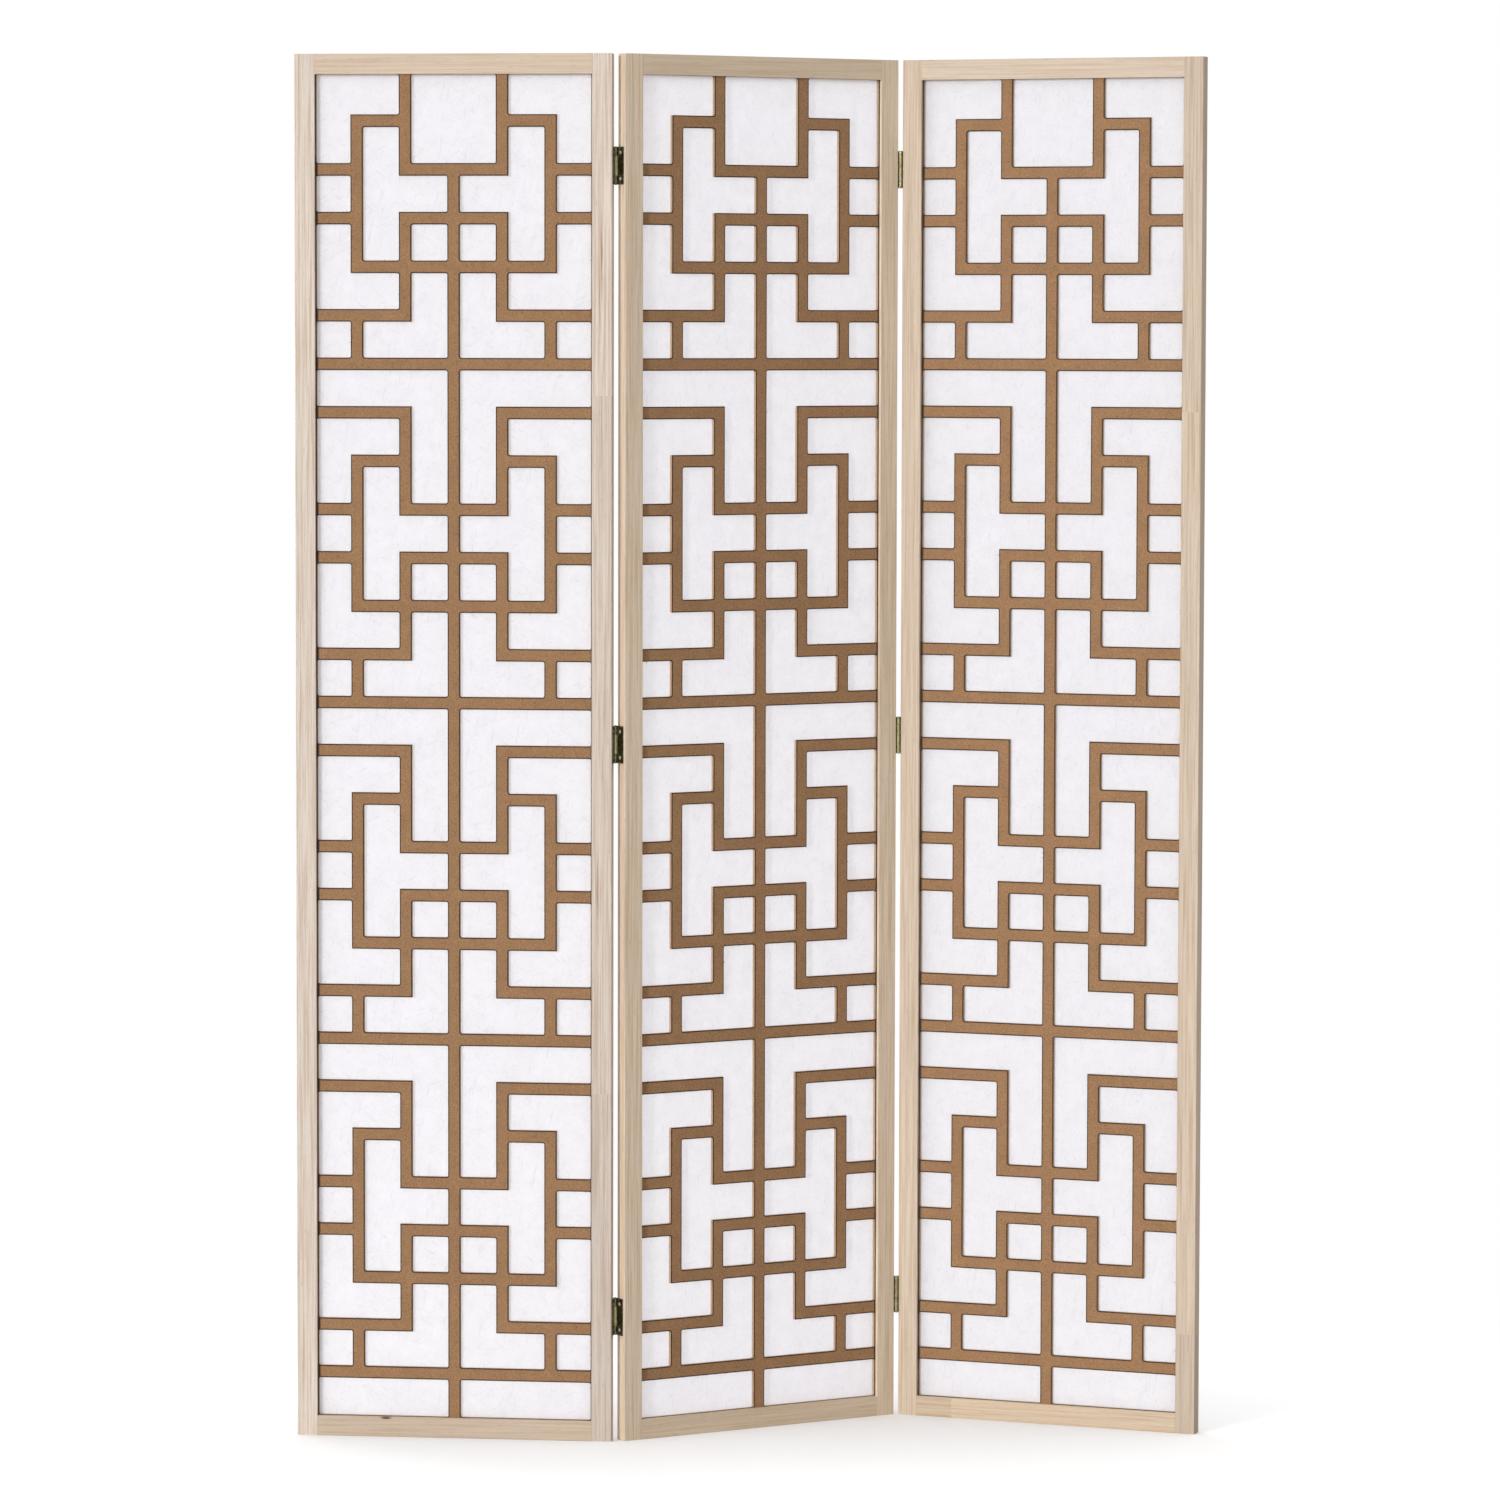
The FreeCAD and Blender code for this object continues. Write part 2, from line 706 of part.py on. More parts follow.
def hinge_axis(end, hinge_side):
    """A fold's pin line in the frame of a leaf, as a point on the floor."""
    x = from_end(end, ZERO - KNUCKLE_RADIUS)
    y = ZERO - PIN_REACH if hinge_side == "front" else THICKNESS + PIN_REACH
    return shift(x, y, 0)


def leaf_placements():
    """Stand the three leaves so that their pin lines meet and the whole is centred."""
    turned = {leaf: turn((0, 0, 1), degrees) for leaf, degrees in LEAF_TURN.items()}
    placed = {"centre_leaf": turned["centre_leaf"]}
    for leaf, end, centre_end, side in (
        ("left_leaf", "right", "left", "back"),
        ("right_leaf", "left", "right", "front"),
    ):
        pin_line = placed["centre_leaf"].multiply(hinge_axis(centre_end, side)).Base
        own_line = turned[leaf].multiply(hinge_axis(end, side)).Base
        placed[leaf] = shift(*(pin_line - own_line)).multiply(turned[leaf])
    points = []
    for placement in placed.values():
        for x in (0.0, plain(WIDTH)):
            for y in (0.0, plain(THICKNESS)):
                points.append(placement.multVec(FreeCAD.Vector(x, y, 0)))
    for end, side in (("left", "back"), ("right", "front")):
        pin_line = placed["centre_leaf"].multiply(hinge_axis(end, side)).Base
        for step in (-1, 1):
            reach = FreeCAD.Vector(plain(KNUCKLE_RADIUS), plain(KNUCKLE_RADIUS), 0) * step
            points.append(pin_line + reach)
    box = FreeCAD.BoundBox()
    for point in points:
        box.add(point)
    centring = shift(-box.Center.x, -box.Center.y, 0)
    return {leaf: centring.multiply(placement) for leaf, placement in placed.items()}


PLACEMENTS = leaf_placements()
exported = []


def stand(feature, placement):
    """Move a finished sub-part to its place and keep it for export."""
    feature.Placement = placement.multiply(feature.Placement)
    exported.append(feature)


# which ends of each leaf carry hinges, and the side on which the pin stands
HINGED_ENDS = {
    "left_leaf": {"right": "back"},
    "centre_leaf": {"left": "back", "right": "front"},
    "right_leaf": {"left": "front"},
}
for leaf, hinged in HINGED_ENDS.items():
    place = PLACEMENTS[leaf]
    for end in ("left", "right"):
        stand(make_stile(leaf, end, hinged.get(end)), place)
    for rail in ("top", "bottom"):
        stand(make_rail(leaf, rail), place)
    stand(make_fretwork(leaf), place)
    paper_depth = LIP + size("fret_thickness")
    stand(make_panel(leaf, "paper", paper_depth, size("paper_thickness")), place)
    for end, hinge_side in hinged.items():
        stand(make_screws(leaf, end, hinge_side), place)

# each fold: its name, the side of its pins, and the leaf whose right end and left end it joins
FOLDS = (
    ("left", "back", "left_leaf", "centre_leaf"),
    ("right", "front", "centre_leaf", "right_leaf"),
)
HINGE_NAMES = ("bottom", "middle", "top")
for fold, hinge_side, left_of_fold, right_of_fold in FOLDS:
    for number, hinge in enumerate(HINGE_NAMES):
        name = f"{fold}_{hinge}_hinge"
        height = hinge_height(number)
        left_frame = PLACEMENTS[left_of_fold].multiply(plate_frame("right", hinge_side, height))
        right_frame = PLACEMENTS[right_of_fold].multiply(plate_frame("left", hinge_side, height))
        stand(make_hinge_plate(f"{name}_left_plate", centre_knuckles()), left_frame)
        stand(make_hinge_plate(f"{name}_right_plate", end_knuckles()), right_frame)
        stand(make_pin(f"{name}_pin"), right_frame)

doc.recompute()
for feature in doc.Objects:
    if "Invalid" in feature.State or "Error" in feature.State:
        raise RuntimeError(f"{feature.Name} did not build: {feature.State}")
for feature in exported:
    if feature.Shape.isNull() or not feature.Shape.isValid():
        raise RuntimeError(f"{feature.Label} has no valid shape")
    feature.Shape.exportStep(os.path.join("parts", f"{feature.Label}.step"))
    print(feature.Label, round(feature.Shape.Volume, 1), len(feature.Shape.Solids))
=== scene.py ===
import json
import logging
import math
import random
from dataclasses import dataclass, field
from enum import Enum

import bmesh
import bpy
from bpy.types import ID, Material, Mesh, Node, NodeOutputs, NodeSocket, NodeTree, Object
from mathutils import Matrix, Vector, geometry, noise


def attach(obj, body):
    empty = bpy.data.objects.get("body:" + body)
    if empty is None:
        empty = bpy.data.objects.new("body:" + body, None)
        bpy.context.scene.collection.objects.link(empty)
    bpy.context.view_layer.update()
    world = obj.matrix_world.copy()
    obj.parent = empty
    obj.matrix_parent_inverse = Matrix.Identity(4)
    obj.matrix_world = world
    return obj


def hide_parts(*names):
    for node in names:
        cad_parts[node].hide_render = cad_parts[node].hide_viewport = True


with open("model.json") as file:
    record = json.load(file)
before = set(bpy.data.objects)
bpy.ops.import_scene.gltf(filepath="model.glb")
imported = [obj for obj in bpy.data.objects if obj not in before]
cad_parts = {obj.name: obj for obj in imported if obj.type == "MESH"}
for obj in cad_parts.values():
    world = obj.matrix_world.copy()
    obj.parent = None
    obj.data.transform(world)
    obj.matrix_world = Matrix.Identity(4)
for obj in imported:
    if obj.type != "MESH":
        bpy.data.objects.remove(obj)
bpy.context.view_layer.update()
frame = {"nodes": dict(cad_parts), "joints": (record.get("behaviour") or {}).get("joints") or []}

log = logging.getLogger("folding_screen")
MM = 0.001
# points closer than this are one point, in metres
SAME_PLACE = 1e-5


# ---------------------------------------------------------------- small tools


def linear(hex_colour: str) -> tuple[float, float, float, float]:
    """Turn an sRGB hex colour into linear RGBA.

    Args:
        hex_colour: the colour, such as "#D8C4A8".

    Returns:
        Red, green, blue and alpha as the renderer reads them.
    """
    values = [int(hex_colour[i:i + 2], 16) / 255 for i in (1, 3, 5)]
    low = [value / 12.92 for value in values]
    high = [((value + 0.055) / 1.055) ** 2.4 for value in values]
    parts = [a if value <= 0.04045 else b for value, a, b in zip(values, low, high)]
    return parts[0], parts[1], parts[2], 1.0


def add_node(
    tree: NodeTree,
    kind: str,
    settings: dict | None = None,
    links: dict | None = None,
) -> Node:
    """Add a shader node with its settings and links.

    Args:
        tree: the node tree that gets the node.
        kind: the node's type, without the "ShaderNode" that every type starts with.
        settings: values by lower-case attribute, or by an input's name or number.
        links: what feeds an input, by the input's name or number: a socket, or a node whose
            first output in use is meant.

    Returns:
        The new node.
    """
    node = tree.nodes.new(f"ShaderNode{kind}")
    for key, value in (settings or {}).items():
        if isinstance(key, str) and key[0].islower():
            setattr(node, key, value)
        else:
            node.inputs[key].default_value = value
    for key, source in (links or {}).items():
        if isinstance(source, Node):
            source = next(output for output in source.outputs if output.enabled)
        tree.links.new(source, node.inputs[key])
    return node


@dataclass(frozen=True)
class Ramp:
    """How a value turns into a share or a shade: at_start where it is start, at_end at end."""

    start: float
    end: float
    at_start: float = 0.0
    at_end: float = 1.0

    def settings(self, **more: str) -> dict:
        """The ramp as the settings of a node that maps a range."""
        return {"From Min": self.start, "From Max": self.end,
                "To Min": self.at_start, "To Max": self.at_end, **more}


def new_material(name: str) -> tuple[Material, NodeTree, NodeSocket]:
    """Start a node material.

    Args:
        name: the material's name.

    Returns:
        The material, its node tree, and where a point of the surface is, in the row frame.
    """
    material = bpy.data.materials.new(name)
    material.use_nodes = True
    tree = material.node_tree
    tree.nodes.clear()
    return material, tree, add_node(tree, "TexCoord").outputs["Object"]


def coat(
    tree: NodeTree,
    colour: Node,
    shade: Node | None,
    height: Node,
    relief: tuple[float, float],
    gloss: dict[str, float],
    translucency: float = 0.0,
) -> None:
    """End a material with its relief, its shader and its output.

    Args:
        tree: the material's tree.
        colour: gives the surface's colour.
        shade: makes the colour lighter or darker from place to place, if anything does.
        height: gives the surface's relief.
        relief: the relief's strength, and its height in metres.
        gloss: the shader's own values, by input.
        translucency: the share of the light that comes through instead.
    """
    if shade:
        links = {0: colour, "Scale": shade}
        colour = add_node(tree, "VectorMath", {"operation": "SCALE"}, links)
    settings = {"Strength": relief[0], "Distance": relief[1]}
    bump = add_node(tree, "Bump", settings, {"Height": height})
    shader = add_node(tree, "BsdfPrincipled", gloss, {"Base Color": colour, "Normal": bump})
    if translucency:
        through = add_node(tree, "BsdfTranslucent", links={"Color": colour, "Normal": bump})
        shader = add_node(tree, "MixShader", {0: translucency}, {1: shader, 2: through})
    add_node(tree, "OutputMaterial", links={"Surface": shader})


def corners_of(points: list[Vector]) -> tuple[Vector, Vector]:
    """Lowest and highest corner of the box round some points."""
    low = Vector(min(point[axis] for point in points) for axis in range(3))
    return low, Vector(max(point[axis] for point in points) for axis in range(3))


def add_object(name: str, data: ID) -> Object:
    """Put a new object into the scene.

    Args:
        name: its name.
        data: its mesh, camera or light.

    Returns:
        The object.
    """
    thing = bpy.data.objects.new(name, data)
    bpy.context.scene.collection.objects.link(thing)
    return thing


def take_mesh(bm: bmesh.types.BMesh, name: str) -> Mesh:
    """Turn an edited mesh into a plain one.

    Args:
        bm: the edited mesh. It is freed.
        name: the plain mesh's name.

    Returns:
        The plain mesh.
    """
    mesh = bpy.data.meshes.new(name)
    bm.to_mesh(mesh)
    bm.free()
    return mesh


def new_piece(name: str, mesh: Mesh, smooth_angle: float = 30.0) -> Object:
    """Put a mesh into the scene as a piece with soft normals under an angle.

    Args:
        name: the piece's name.
        mesh: its mesh, in the row frame.
        smooth_angle: faces that meet at less than this, in degrees, shade as one surface.

    Returns:
        The piece.
    """
    mesh.shade_smooth()
    mesh.set_sharp_from_angle(angle=math.radians(smooth_angle))
    return add_object(name, mesh)


class Ring(Enum):
    """How the faces between two rings of points are turned."""

    OUTWARDS = 1
    INWARDS = 2


class MeshBuilder:
    """Gathers points and faces with their materials, and makes one mesh of them."""

    def __init__(self) -> None:
        """Start with nothing."""
        self.points: list[Vector] = []
        self.faces: list[list[int]] = []
        self.slots: list[int] = []

    def add_points(self, points: list[Vector]) -> list[int]:
        """Keep points and return their numbers."""
        self.points.extend(points)
        return list(range(len(self.points) - len(points), len(self.points)))

    def add_face(self, corners: list[int], slot: int = 0) -> None:
        """Keep one face with its material slot."""
        self.faces.append(corners)
        self.slots.append(slot)

    def bridge(self, ring: list[int], following: list[int], slot: int, way: Ring) -> None:
        """Join two closed rings of as many points with a band of faces.

        Args:
            ring: the first ring's points.
            following: the second ring's points.
            slot: the material slot of the band.
            way: which side of the band is its outside.
        """
        for index in range(len(ring)):
            after = (index + 1) % len(ring)
            corners = [ring[index], ring[after], following[after], following[index]]
            self.add_face(corners if way is Ring.OUTWARDS else corners[::-1], slot)

    def build(self, name: str, to_row: Matrix, materials: list[Material]) -> Mesh:
        """Make the mesh in the row frame.

        Args:
            name: the mesh's name.
            to_row: takes the points into the row frame.
            materials: the materials by slot.

        Returns:
            The mesh.
        """
        mesh = bpy.data.meshes.new(name)
        mesh.from_pydata([to_row @ point for point in self.points], [], self.faces)
        for material in materials:
            mesh.materials.append(material)
        mesh.polygons.foreach_set("material_index", self.slots)
        mesh.validate()
        mesh.update()
        return mesh


# ---------------------------------------------------------------- leaf frames


@dataclass(frozen=True)
class LeafFrame:
    """Where one leaf stands, read from its CAD pieces.

    In its own axes X runs along the leaf from its left end, Y from its front face to its
    back and Z up from the floor.
    """

    name: str
    turn: float
    to_row: Matrix
    width: float

    @property
    def to_leaf(self) -> Matrix:
        """Takes the row frame's points into the leaf's own axes."""
        return self.to_row.inverted()

    def span(self, node: str) -> tuple[Vector, Vector]:
        """Lowest and highest corner of a CAD node in the leaf's axes."""
        to_leaf = self.to_leaf
        return corners_of([to_leaf @ vertex.co for vertex in frame["nodes"][node].data.vertices])

    def welded(self, node: str) -> bmesh.types.BMesh:
        """Copy a CAD node's mesh with its double points joined.

        Args:
            node: the node's name.

        Returns:
            The mesh in the leaf's axes, for the caller to free.
        """
        bm = bmesh.new()
        bm.from_mesh(frame["nodes"][node].data)
        bmesh.ops.transform(bm, matrix=self.to_leaf, verts=bm.verts)
        bmesh.ops.remove_doubles(bm, verts=bm.verts, dist=SAME_PLACE)
        return bm


def read_leaf_frame(name: str) -> LeafFrame:
    """Work out a leaf's place from the corners of its paper and the ends of its stiles.

    Args:
        name: the leaf's name, which its nodes' names start with.

    Returns:
        The leaf's frame.
    """
    vertices = frame["nodes"][f"{name}_paper"].data.vertices
    corners = sorted({(round(v.co.x, 6), round(v.co.y, 6)) for v in vertices})
    front_left = min(corners[:len(corners) // 2], key=lambda corner: corner[1])
    front_right = min(corners[len(corners) // 2:], key=lambda corner: corner[1])
    turn = math.atan2(front_right[1] - front_left[1], front_right[0] - front_left[0])
    back = Matrix.Rotation(-turn, 4, "Z")
    stiles = [frame["nodes"][f"{name}_{side}_stile"].data for side in ("left", "right")]
    low, high = corners_of([back @ v.co for stile in stiles for v in stile.vertices])
    to_row = Matrix.Rotation(turn, 4, "Z") @ Matrix.Translation((low.x, low.y, 0))
    return LeafFrame(name, turn, to_row, high.x - low.x)


def leaf_axes(tree: NodeTree, place: NodeSocket, leaf: LeafFrame) -> NodeOutputs:
    """Find where a point of a surface lies in its leaf's own axes.

    Args:
        tree: the material's tree.
        place: the point in the row frame.
        leaf: the leaf's frame.

    Returns:
        The point's X, Y and Z as sockets, in metres.
    """
    start = Matrix.Rotation(-leaf.turn, 4, "Z") @ leaf.to_row.translation
    settings = {"Rotation": (0.0, 0.0, -leaf.turn), "Location": -start}
    local = add_node(tree, "Mapping", settings, {"Vector": place})
    return add_node(tree, "SeparateXYZ", links={0: local}).outputs


# ---------------------------------------------------------------- finishes


class Grain(Enum):
    """Which of the leaf's axes the wood's grain runs along."""

    LEVEL = 0
    UPRIGHT = 2


@dataclass(frozen=True)
class Streak:
    """A brown streak of heartwood in a board, or a small knot, which is evenly brown.

    start and end lie along the board and middle across it, in metres in the leaf's axes.
    """

    start: float
    end: float
    middle: float
    width: float
    strength: float
    knot: bool = False

    def mask(self, tree: NodeTree, along: NodeSocket, across: NodeSocket) -> Node:
        """Find where the streak lies on its board.

        Args:
            tree: the material's tree.
            along: how far along the board a point lies.
            across: how far across it the point lies.

        Returns:
            Its cover, from 0 to its strength.
        """
        centre = (self.start + self.end) / 2
        reaches = ((along, centre, (self.end - self.start) / 2), (across, self.middle, self.width))
        masks = []
        for axis, middle, reach in reaches:
            offset = add_node(tree, "Math", {"operation": "SUBTRACT", 1: middle}, {0: axis})
            distance = add_node(tree, "Math", {"operation": "ABSOLUTE"}, {0: offset})
            settings = Ramp(reach, 0.0).settings(interpolation_type="SMOOTHSTEP")
            masks.append(add_node(tree, "MapRange", settings, {"Value": distance}))
        both = add_node(tree, "Math", {"operation": "MULTIPLY"}, dict(enumerate(masks)))
        return add_node(tree, "Math", {"operation": "MULTIPLY", 1: self.strength}, {0: both})


@dataclass(frozen=True)
class PineBoard:
    """Planed, unfinished pale pine: dull, cream, with fine darker grain along the board.

    Boards are finger-jointed from short blocks, so the tone and the grain change at a joint.
    """

    name: str
    leaf: LeafFrame
    seed: float
    grain: Grain
    ring_contrast: float
    joints: tuple[float, ...] = ()
    block_tones: tuple[float, ...] = (1.0,)
    streaks: tuple[Streak, ...] = ()
    pale: str = "#E3D6C9"
    late_wood: str = "#C2A68B"
    pore: str = "#A98C70"
    heartwood: str = "#A4774F"
    knot_wood: str = "#6B4A30"
    # sizes across and along the grain. Real growth rings are 1 to 3 mm wide, and pores are
    # drawn three times too wide to show
    ring_size: tuple[float, float] = (2.6 * MM, 150 * MM)
    pore_size: tuple[float, float] = (1.3 * MM, 16 * MM)
    cloud_size: tuple[float, float] = (22 * MM, 420 * MM)
    ring_limits: tuple[float, float] = (0.42, 0.68)
    pore_cover: Ramp = Ramp(0.58, 0.75, 0.0, 0.55)
    cloud_shade: Ramp = Ramp(0.3, 0.7, 0.93, 1.05)
    # each block is cut from elsewhere in the tree, so its grain lies this far across
    block_shift: float = 0.37
    relief: tuple[float, float] = (0.25, 0.15 * MM)
    roughness: float = 0.72
    ior: float = 1.5

    def pattern(self, tree: NodeTree, place: Node, size: tuple[float, float]) -> Node:
        """Make noise that is drawn out along the grain.

        Args:
            tree: the material's tree.
            place: the point across the board, through it and along it.
            size: the noise's size across and along the grain, in metres.

        Returns:
            The noise, from 0 to 1.
        """
        width, length = size
        settings = {"operation": "DIVIDE", 1: (width, width, length)}
        scaled = add_node(tree, "VectorMath", settings, {0: place})
        settings = {"Scale": 1.0, "Detail": 3.0, "Roughness": 0.6, "Distortion": 0.25}
        return add_node(tree, "TexNoise", settings, {"Vector": scaled})

    def joined(self, tree: NodeTree, along: NodeSocket) -> tuple[Node, Node]:
        """Find what changes from block to block.

        Args:
            tree: the material's tree.
            along: how far along the board a point lies.

        Returns:
            How far across its block's grain is shifted, and its block's shade.
        """
        shift = add_node(tree, "Value")
        shift.outputs[0].default_value = self.seed
        shade = add_node(tree, "Value")
        shade.outputs[0].default_value = self.block_tones[0]
        for joint, before, after in zip(self.joints, self.block_tones, self.block_tones[1:]):
            past = add_node(tree, "Math", {"operation": "GREATER_THAN", 1: joint}, {0: along})
            settings = {"operation": "MULTIPLY_ADD", 1: self.block_shift}
            shift = add_node(tree, "Math", settings, {0: past, 2: shift})
            settings = {"operation": "MULTIPLY_ADD", 1: after - before}
            shade = add_node(tree, "Math", settings, {0: past, 2: shade})
        return shift, shade

    def build(self) -> Material:
        """Make the board's material.

        Returns:
            The material.
        """
        material, tree, position = new_material(self.name)
        parts = leaf_axes(tree, position, self.leaf)
        along = parts[self.grain.value]
        across = parts[Grain.UPRIGHT.value - self.grain.value]
        shift, shade = self.joined(tree, along)
        moved = add_node(tree, "Math", {"operation": "ADD"}, {0: across, 1: shift})
        place = add_node(tree, "CombineXYZ", links={"X": moved, "Y": parts["Y"], "Z": along})
        rings = self.pattern(tree, place, self.ring_size)
        pores = self.pattern(tree, place, self.pore_size)
        clouds = self.pattern(tree, place, self.cloud_size)

        settings = Ramp(*self.ring_limits, 0.0, self.ring_contrast).settings()
        late = add_node(tree, "MapRange", settings, {"Value": rings})
        settings = {"data_type": "RGBA", 6: linear(self.pale), 7: linear(self.late_wood)}
        colour = add_node(tree, "Mix", settings, {0: late})
        porous = add_node(tree, "MapRange", self.pore_cover.settings(), {"Value": pores})
        settings = {"data_type": "RGBA", 7: linear(self.pore)}
        colour = add_node(tree, "Mix", settings, {0: porous, 6: colour})
        for streak in self.streaks:
            mask = streak.mask(tree, along, across)
            if not streak.knot:
                mask = add_node(tree, "Math", {"operation": "MULTIPLY"}, {0: mask, 1: late})
            stain = self.knot_wood if streak.knot else self.heartwood
            settings = {"data_type": "RGBA", 7: linear(stain)}
            colour = add_node(tree, "Mix", settings, {0: mask, 6: colour})
        cloudy = add_node(tree, "MapRange", self.cloud_shade.settings(), {"Value": clouds})
        shade = add_node(tree, "Math", {"operation": "MULTIPLY"}, {0: cloudy, 1: shade})
        height = add_node(tree, "Math", {"operation": "SUBTRACT"}, {0: rings, 1: porous})
        gloss = {"Roughness": self.roughness, "IOR": self.ior}
        coat(tree, colour, shade, height, self.relief, gloss)
        return material


@dataclass(frozen=True)
class Fibreboard:
    """Brown hardboard: dull pressed wood fibre with a fine dark and light speckle.

    On a leaf it is painted nearly black along the stiles: painted shade in the corners, where the
    stiles shade it.
    """

    name: str
    base: str = "#A67E58"
    dark: str = "#5A3E26"
    leaf: LeafFrame | None = None
    # how wide the painted shade along the left and the right stile is, in metres
    painted_corner_shade: tuple[float, float] = (0.0, 0.0)
    # how softly the painted shade ends, as shares of its width
    corner_shade_edge: tuple[float, float] = (1.25, 0.75)
    # the painted shade's colour and its strongest cover
    corner_shade_colour: str = "#1E1207"
    corner_shade_cover: float = 0.93
    # fibres are finer than a millimetre, and are drawn coarser so that they show
    speck: float = 1.7 * MM
    mottle: float = 30 * MM
    speck_cover: Ramp = Ramp(0.4, 0.75, 0.0, 0.66)
    mottle_shade: Ramp = Ramp(0.3, 0.7, 0.92, 1.06)
    relief: tuple[float, float] = (0.2, 0.1 * MM)
    roughness: float = 0.82
    ior: float = 1.48

    def corner_shade_mask(self, tree: NodeTree, place: NodeSocket) -> Node:
        """Find the painted shade along the stiles.

        Args:
            tree: the material's tree.
            place: the point of the surface.

        Returns:
            The painted shade's cover, from 0 to its strongest.
        """
        along = leaf_axes(tree, place, self.leaf)["X"]
        left = self.leaf.span(f"{self.leaf.name}_left_stile")[1].x
        right = self.leaf.span(f"{self.leaf.name}_right_stile")[0].x
        widths = (self.painted_corner_shade[0], -self.painted_corner_shade[1])
        masks = []
        for stile, width in zip((left, right), widths):
            start, end = (stile + share * width for share in self.corner_shade_edge)
            settings = Ramp(start, end, 0.0, self.corner_shade_cover).settings()
            masks.append(add_node(tree, "MapRange", settings, {"Value": along}))
        return add_node(tree, "Math", {"operation": "MAXIMUM"}, dict(enumerate(masks)))

    def build(self) -> Material:
        """Make the board's material.

        Returns:
            The material.
        """
        material, tree, place = new_material(self.name)
        fibres = {"Detail": 2.0, "Roughness": 0.7}
        settings = {**fibres, "Scale": 1 / self.speck}
        specks = add_node(tree, "TexNoise", settings, {"Vector": place})
        settings = {**fibres, "Scale": 1 / self.mottle}
        mottle = add_node(tree, "TexNoise", settings, {"Vector": place})
        cover = add_node(tree, "MapRange", self.speck_cover.settings(), {"Value": specks})
        settings = {"data_type": "RGBA", 6: linear(self.base), 7: linear(self.dark)}
        colour = add_node(tree, "Mix", settings, {0: cover})
        # on a leaf, paint shade into the corners along the stiles
        if self.leaf:
            settings = {"data_type": "RGBA", 7: linear(self.corner_shade_colour)}
            links = {0: self.corner_shade_mask(tree, place), 6: colour}
            colour = add_node(tree, "Mix", settings, links)
        shade = add_node(tree, "MapRange", self.mottle_shade.settings(), {"Value": mottle})
        gloss = {"Roughness": self.roughness, "IOR": self.ior}
        coat(tree, colour, shade, specks, self.relief, gloss)
        return material


@dataclass(frozen=True)
class MulberryPaper:
    """Hand-laid white paper: long pale fibres in a soft, slightly cloudy sheet.

    Light from behind comes through it, so that it stays bright on a leaf that is in shade.
    """

    name: str = "mulberry_paper"
    base: str = "#F7F6F8"
    fibre: str = "#E4E3E7"
    fibre_size: tuple[float, float] = (26 * MM, 1.6 * MM)
    # the fibres lie in three directions, in degrees, and each has its own part of the noise
    fibre_angles: tuple[float, ...] = (25.0, -40.0, 80.0)
    fibre_offset: float = 0.3
    fibre_cover: Ramp = Ramp(0.62, 0.74, 0.0, 0.55)
    cloud: float = 18 * MM
    cloud_shade: Ramp = Ramp(0.3, 0.7, 0.965, 1.0)
    relief: tuple[float, float] = (0.3, 0.12 * MM)
    roughness: float = 0.9
    ior: float = 1.45
    translucency: float = 0.72

    def threads(self, tree: NodeTree, place: NodeSocket) -> Node:
        """Lay the paper's fibres over each other.

        Args:
            tree: the material's tree.
            place: the point of the surface.

        Returns:
            The fibres' cover.
        """
        length, width = self.fibre_size
        threads = None
        for number, angle in enumerate(self.fibre_angles):
            settings = {
                "Rotation": (0.0, math.radians(angle), 0.0),
                "Location": (self.fibre_offset * number, 0.0, 0.0),
            }
            turned = add_node(tree, "Mapping", settings, {"Vector": place})
            settings = {"operation": "MULTIPLY", 1: (1 / length, 1 / width, 1 / width)}
            scaled = add_node(tree, "VectorMath", settings, {0: turned})
            settings = {"Scale": 1.0, "Detail": 1.0, "Distortion": 1.2}
            thread = add_node(tree, "TexNoise", settings, {"Vector": scaled})
            mask = add_node(tree, "MapRange", self.fibre_cover.settings(), {"Value": thread})
            threads = mask if threads is None else add_node(
                tree, "Math", {"operation": "MAXIMUM"}, {0: threads, 1: mask}
            )
        return threads

    def build(self) -> Material:
        """Make the paper's material.

        Returns:
            The material.
        """
        material, tree, place = new_material(self.name)
        settings = {"Scale": 1 / self.cloud, "Detail": 4.0, "Roughness": 0.65}
        clouds = add_node(tree, "TexNoise", settings, {"Vector": place})
        settings = {"data_type": "RGBA", 6: linear(self.base), 7: linear(self.fibre)}
        colour = add_node(tree, "Mix", settings, {0: self.threads(tree, place)})
        shade = add_node(tree, "MapRange", self.cloud_shade.settings(), {"Value": clouds})
        gloss = {"Roughness": self.roughness, "IOR": self.ior}
        coat(tree, colour, shade, clouds, self.relief, gloss, self.translucency)
        return material


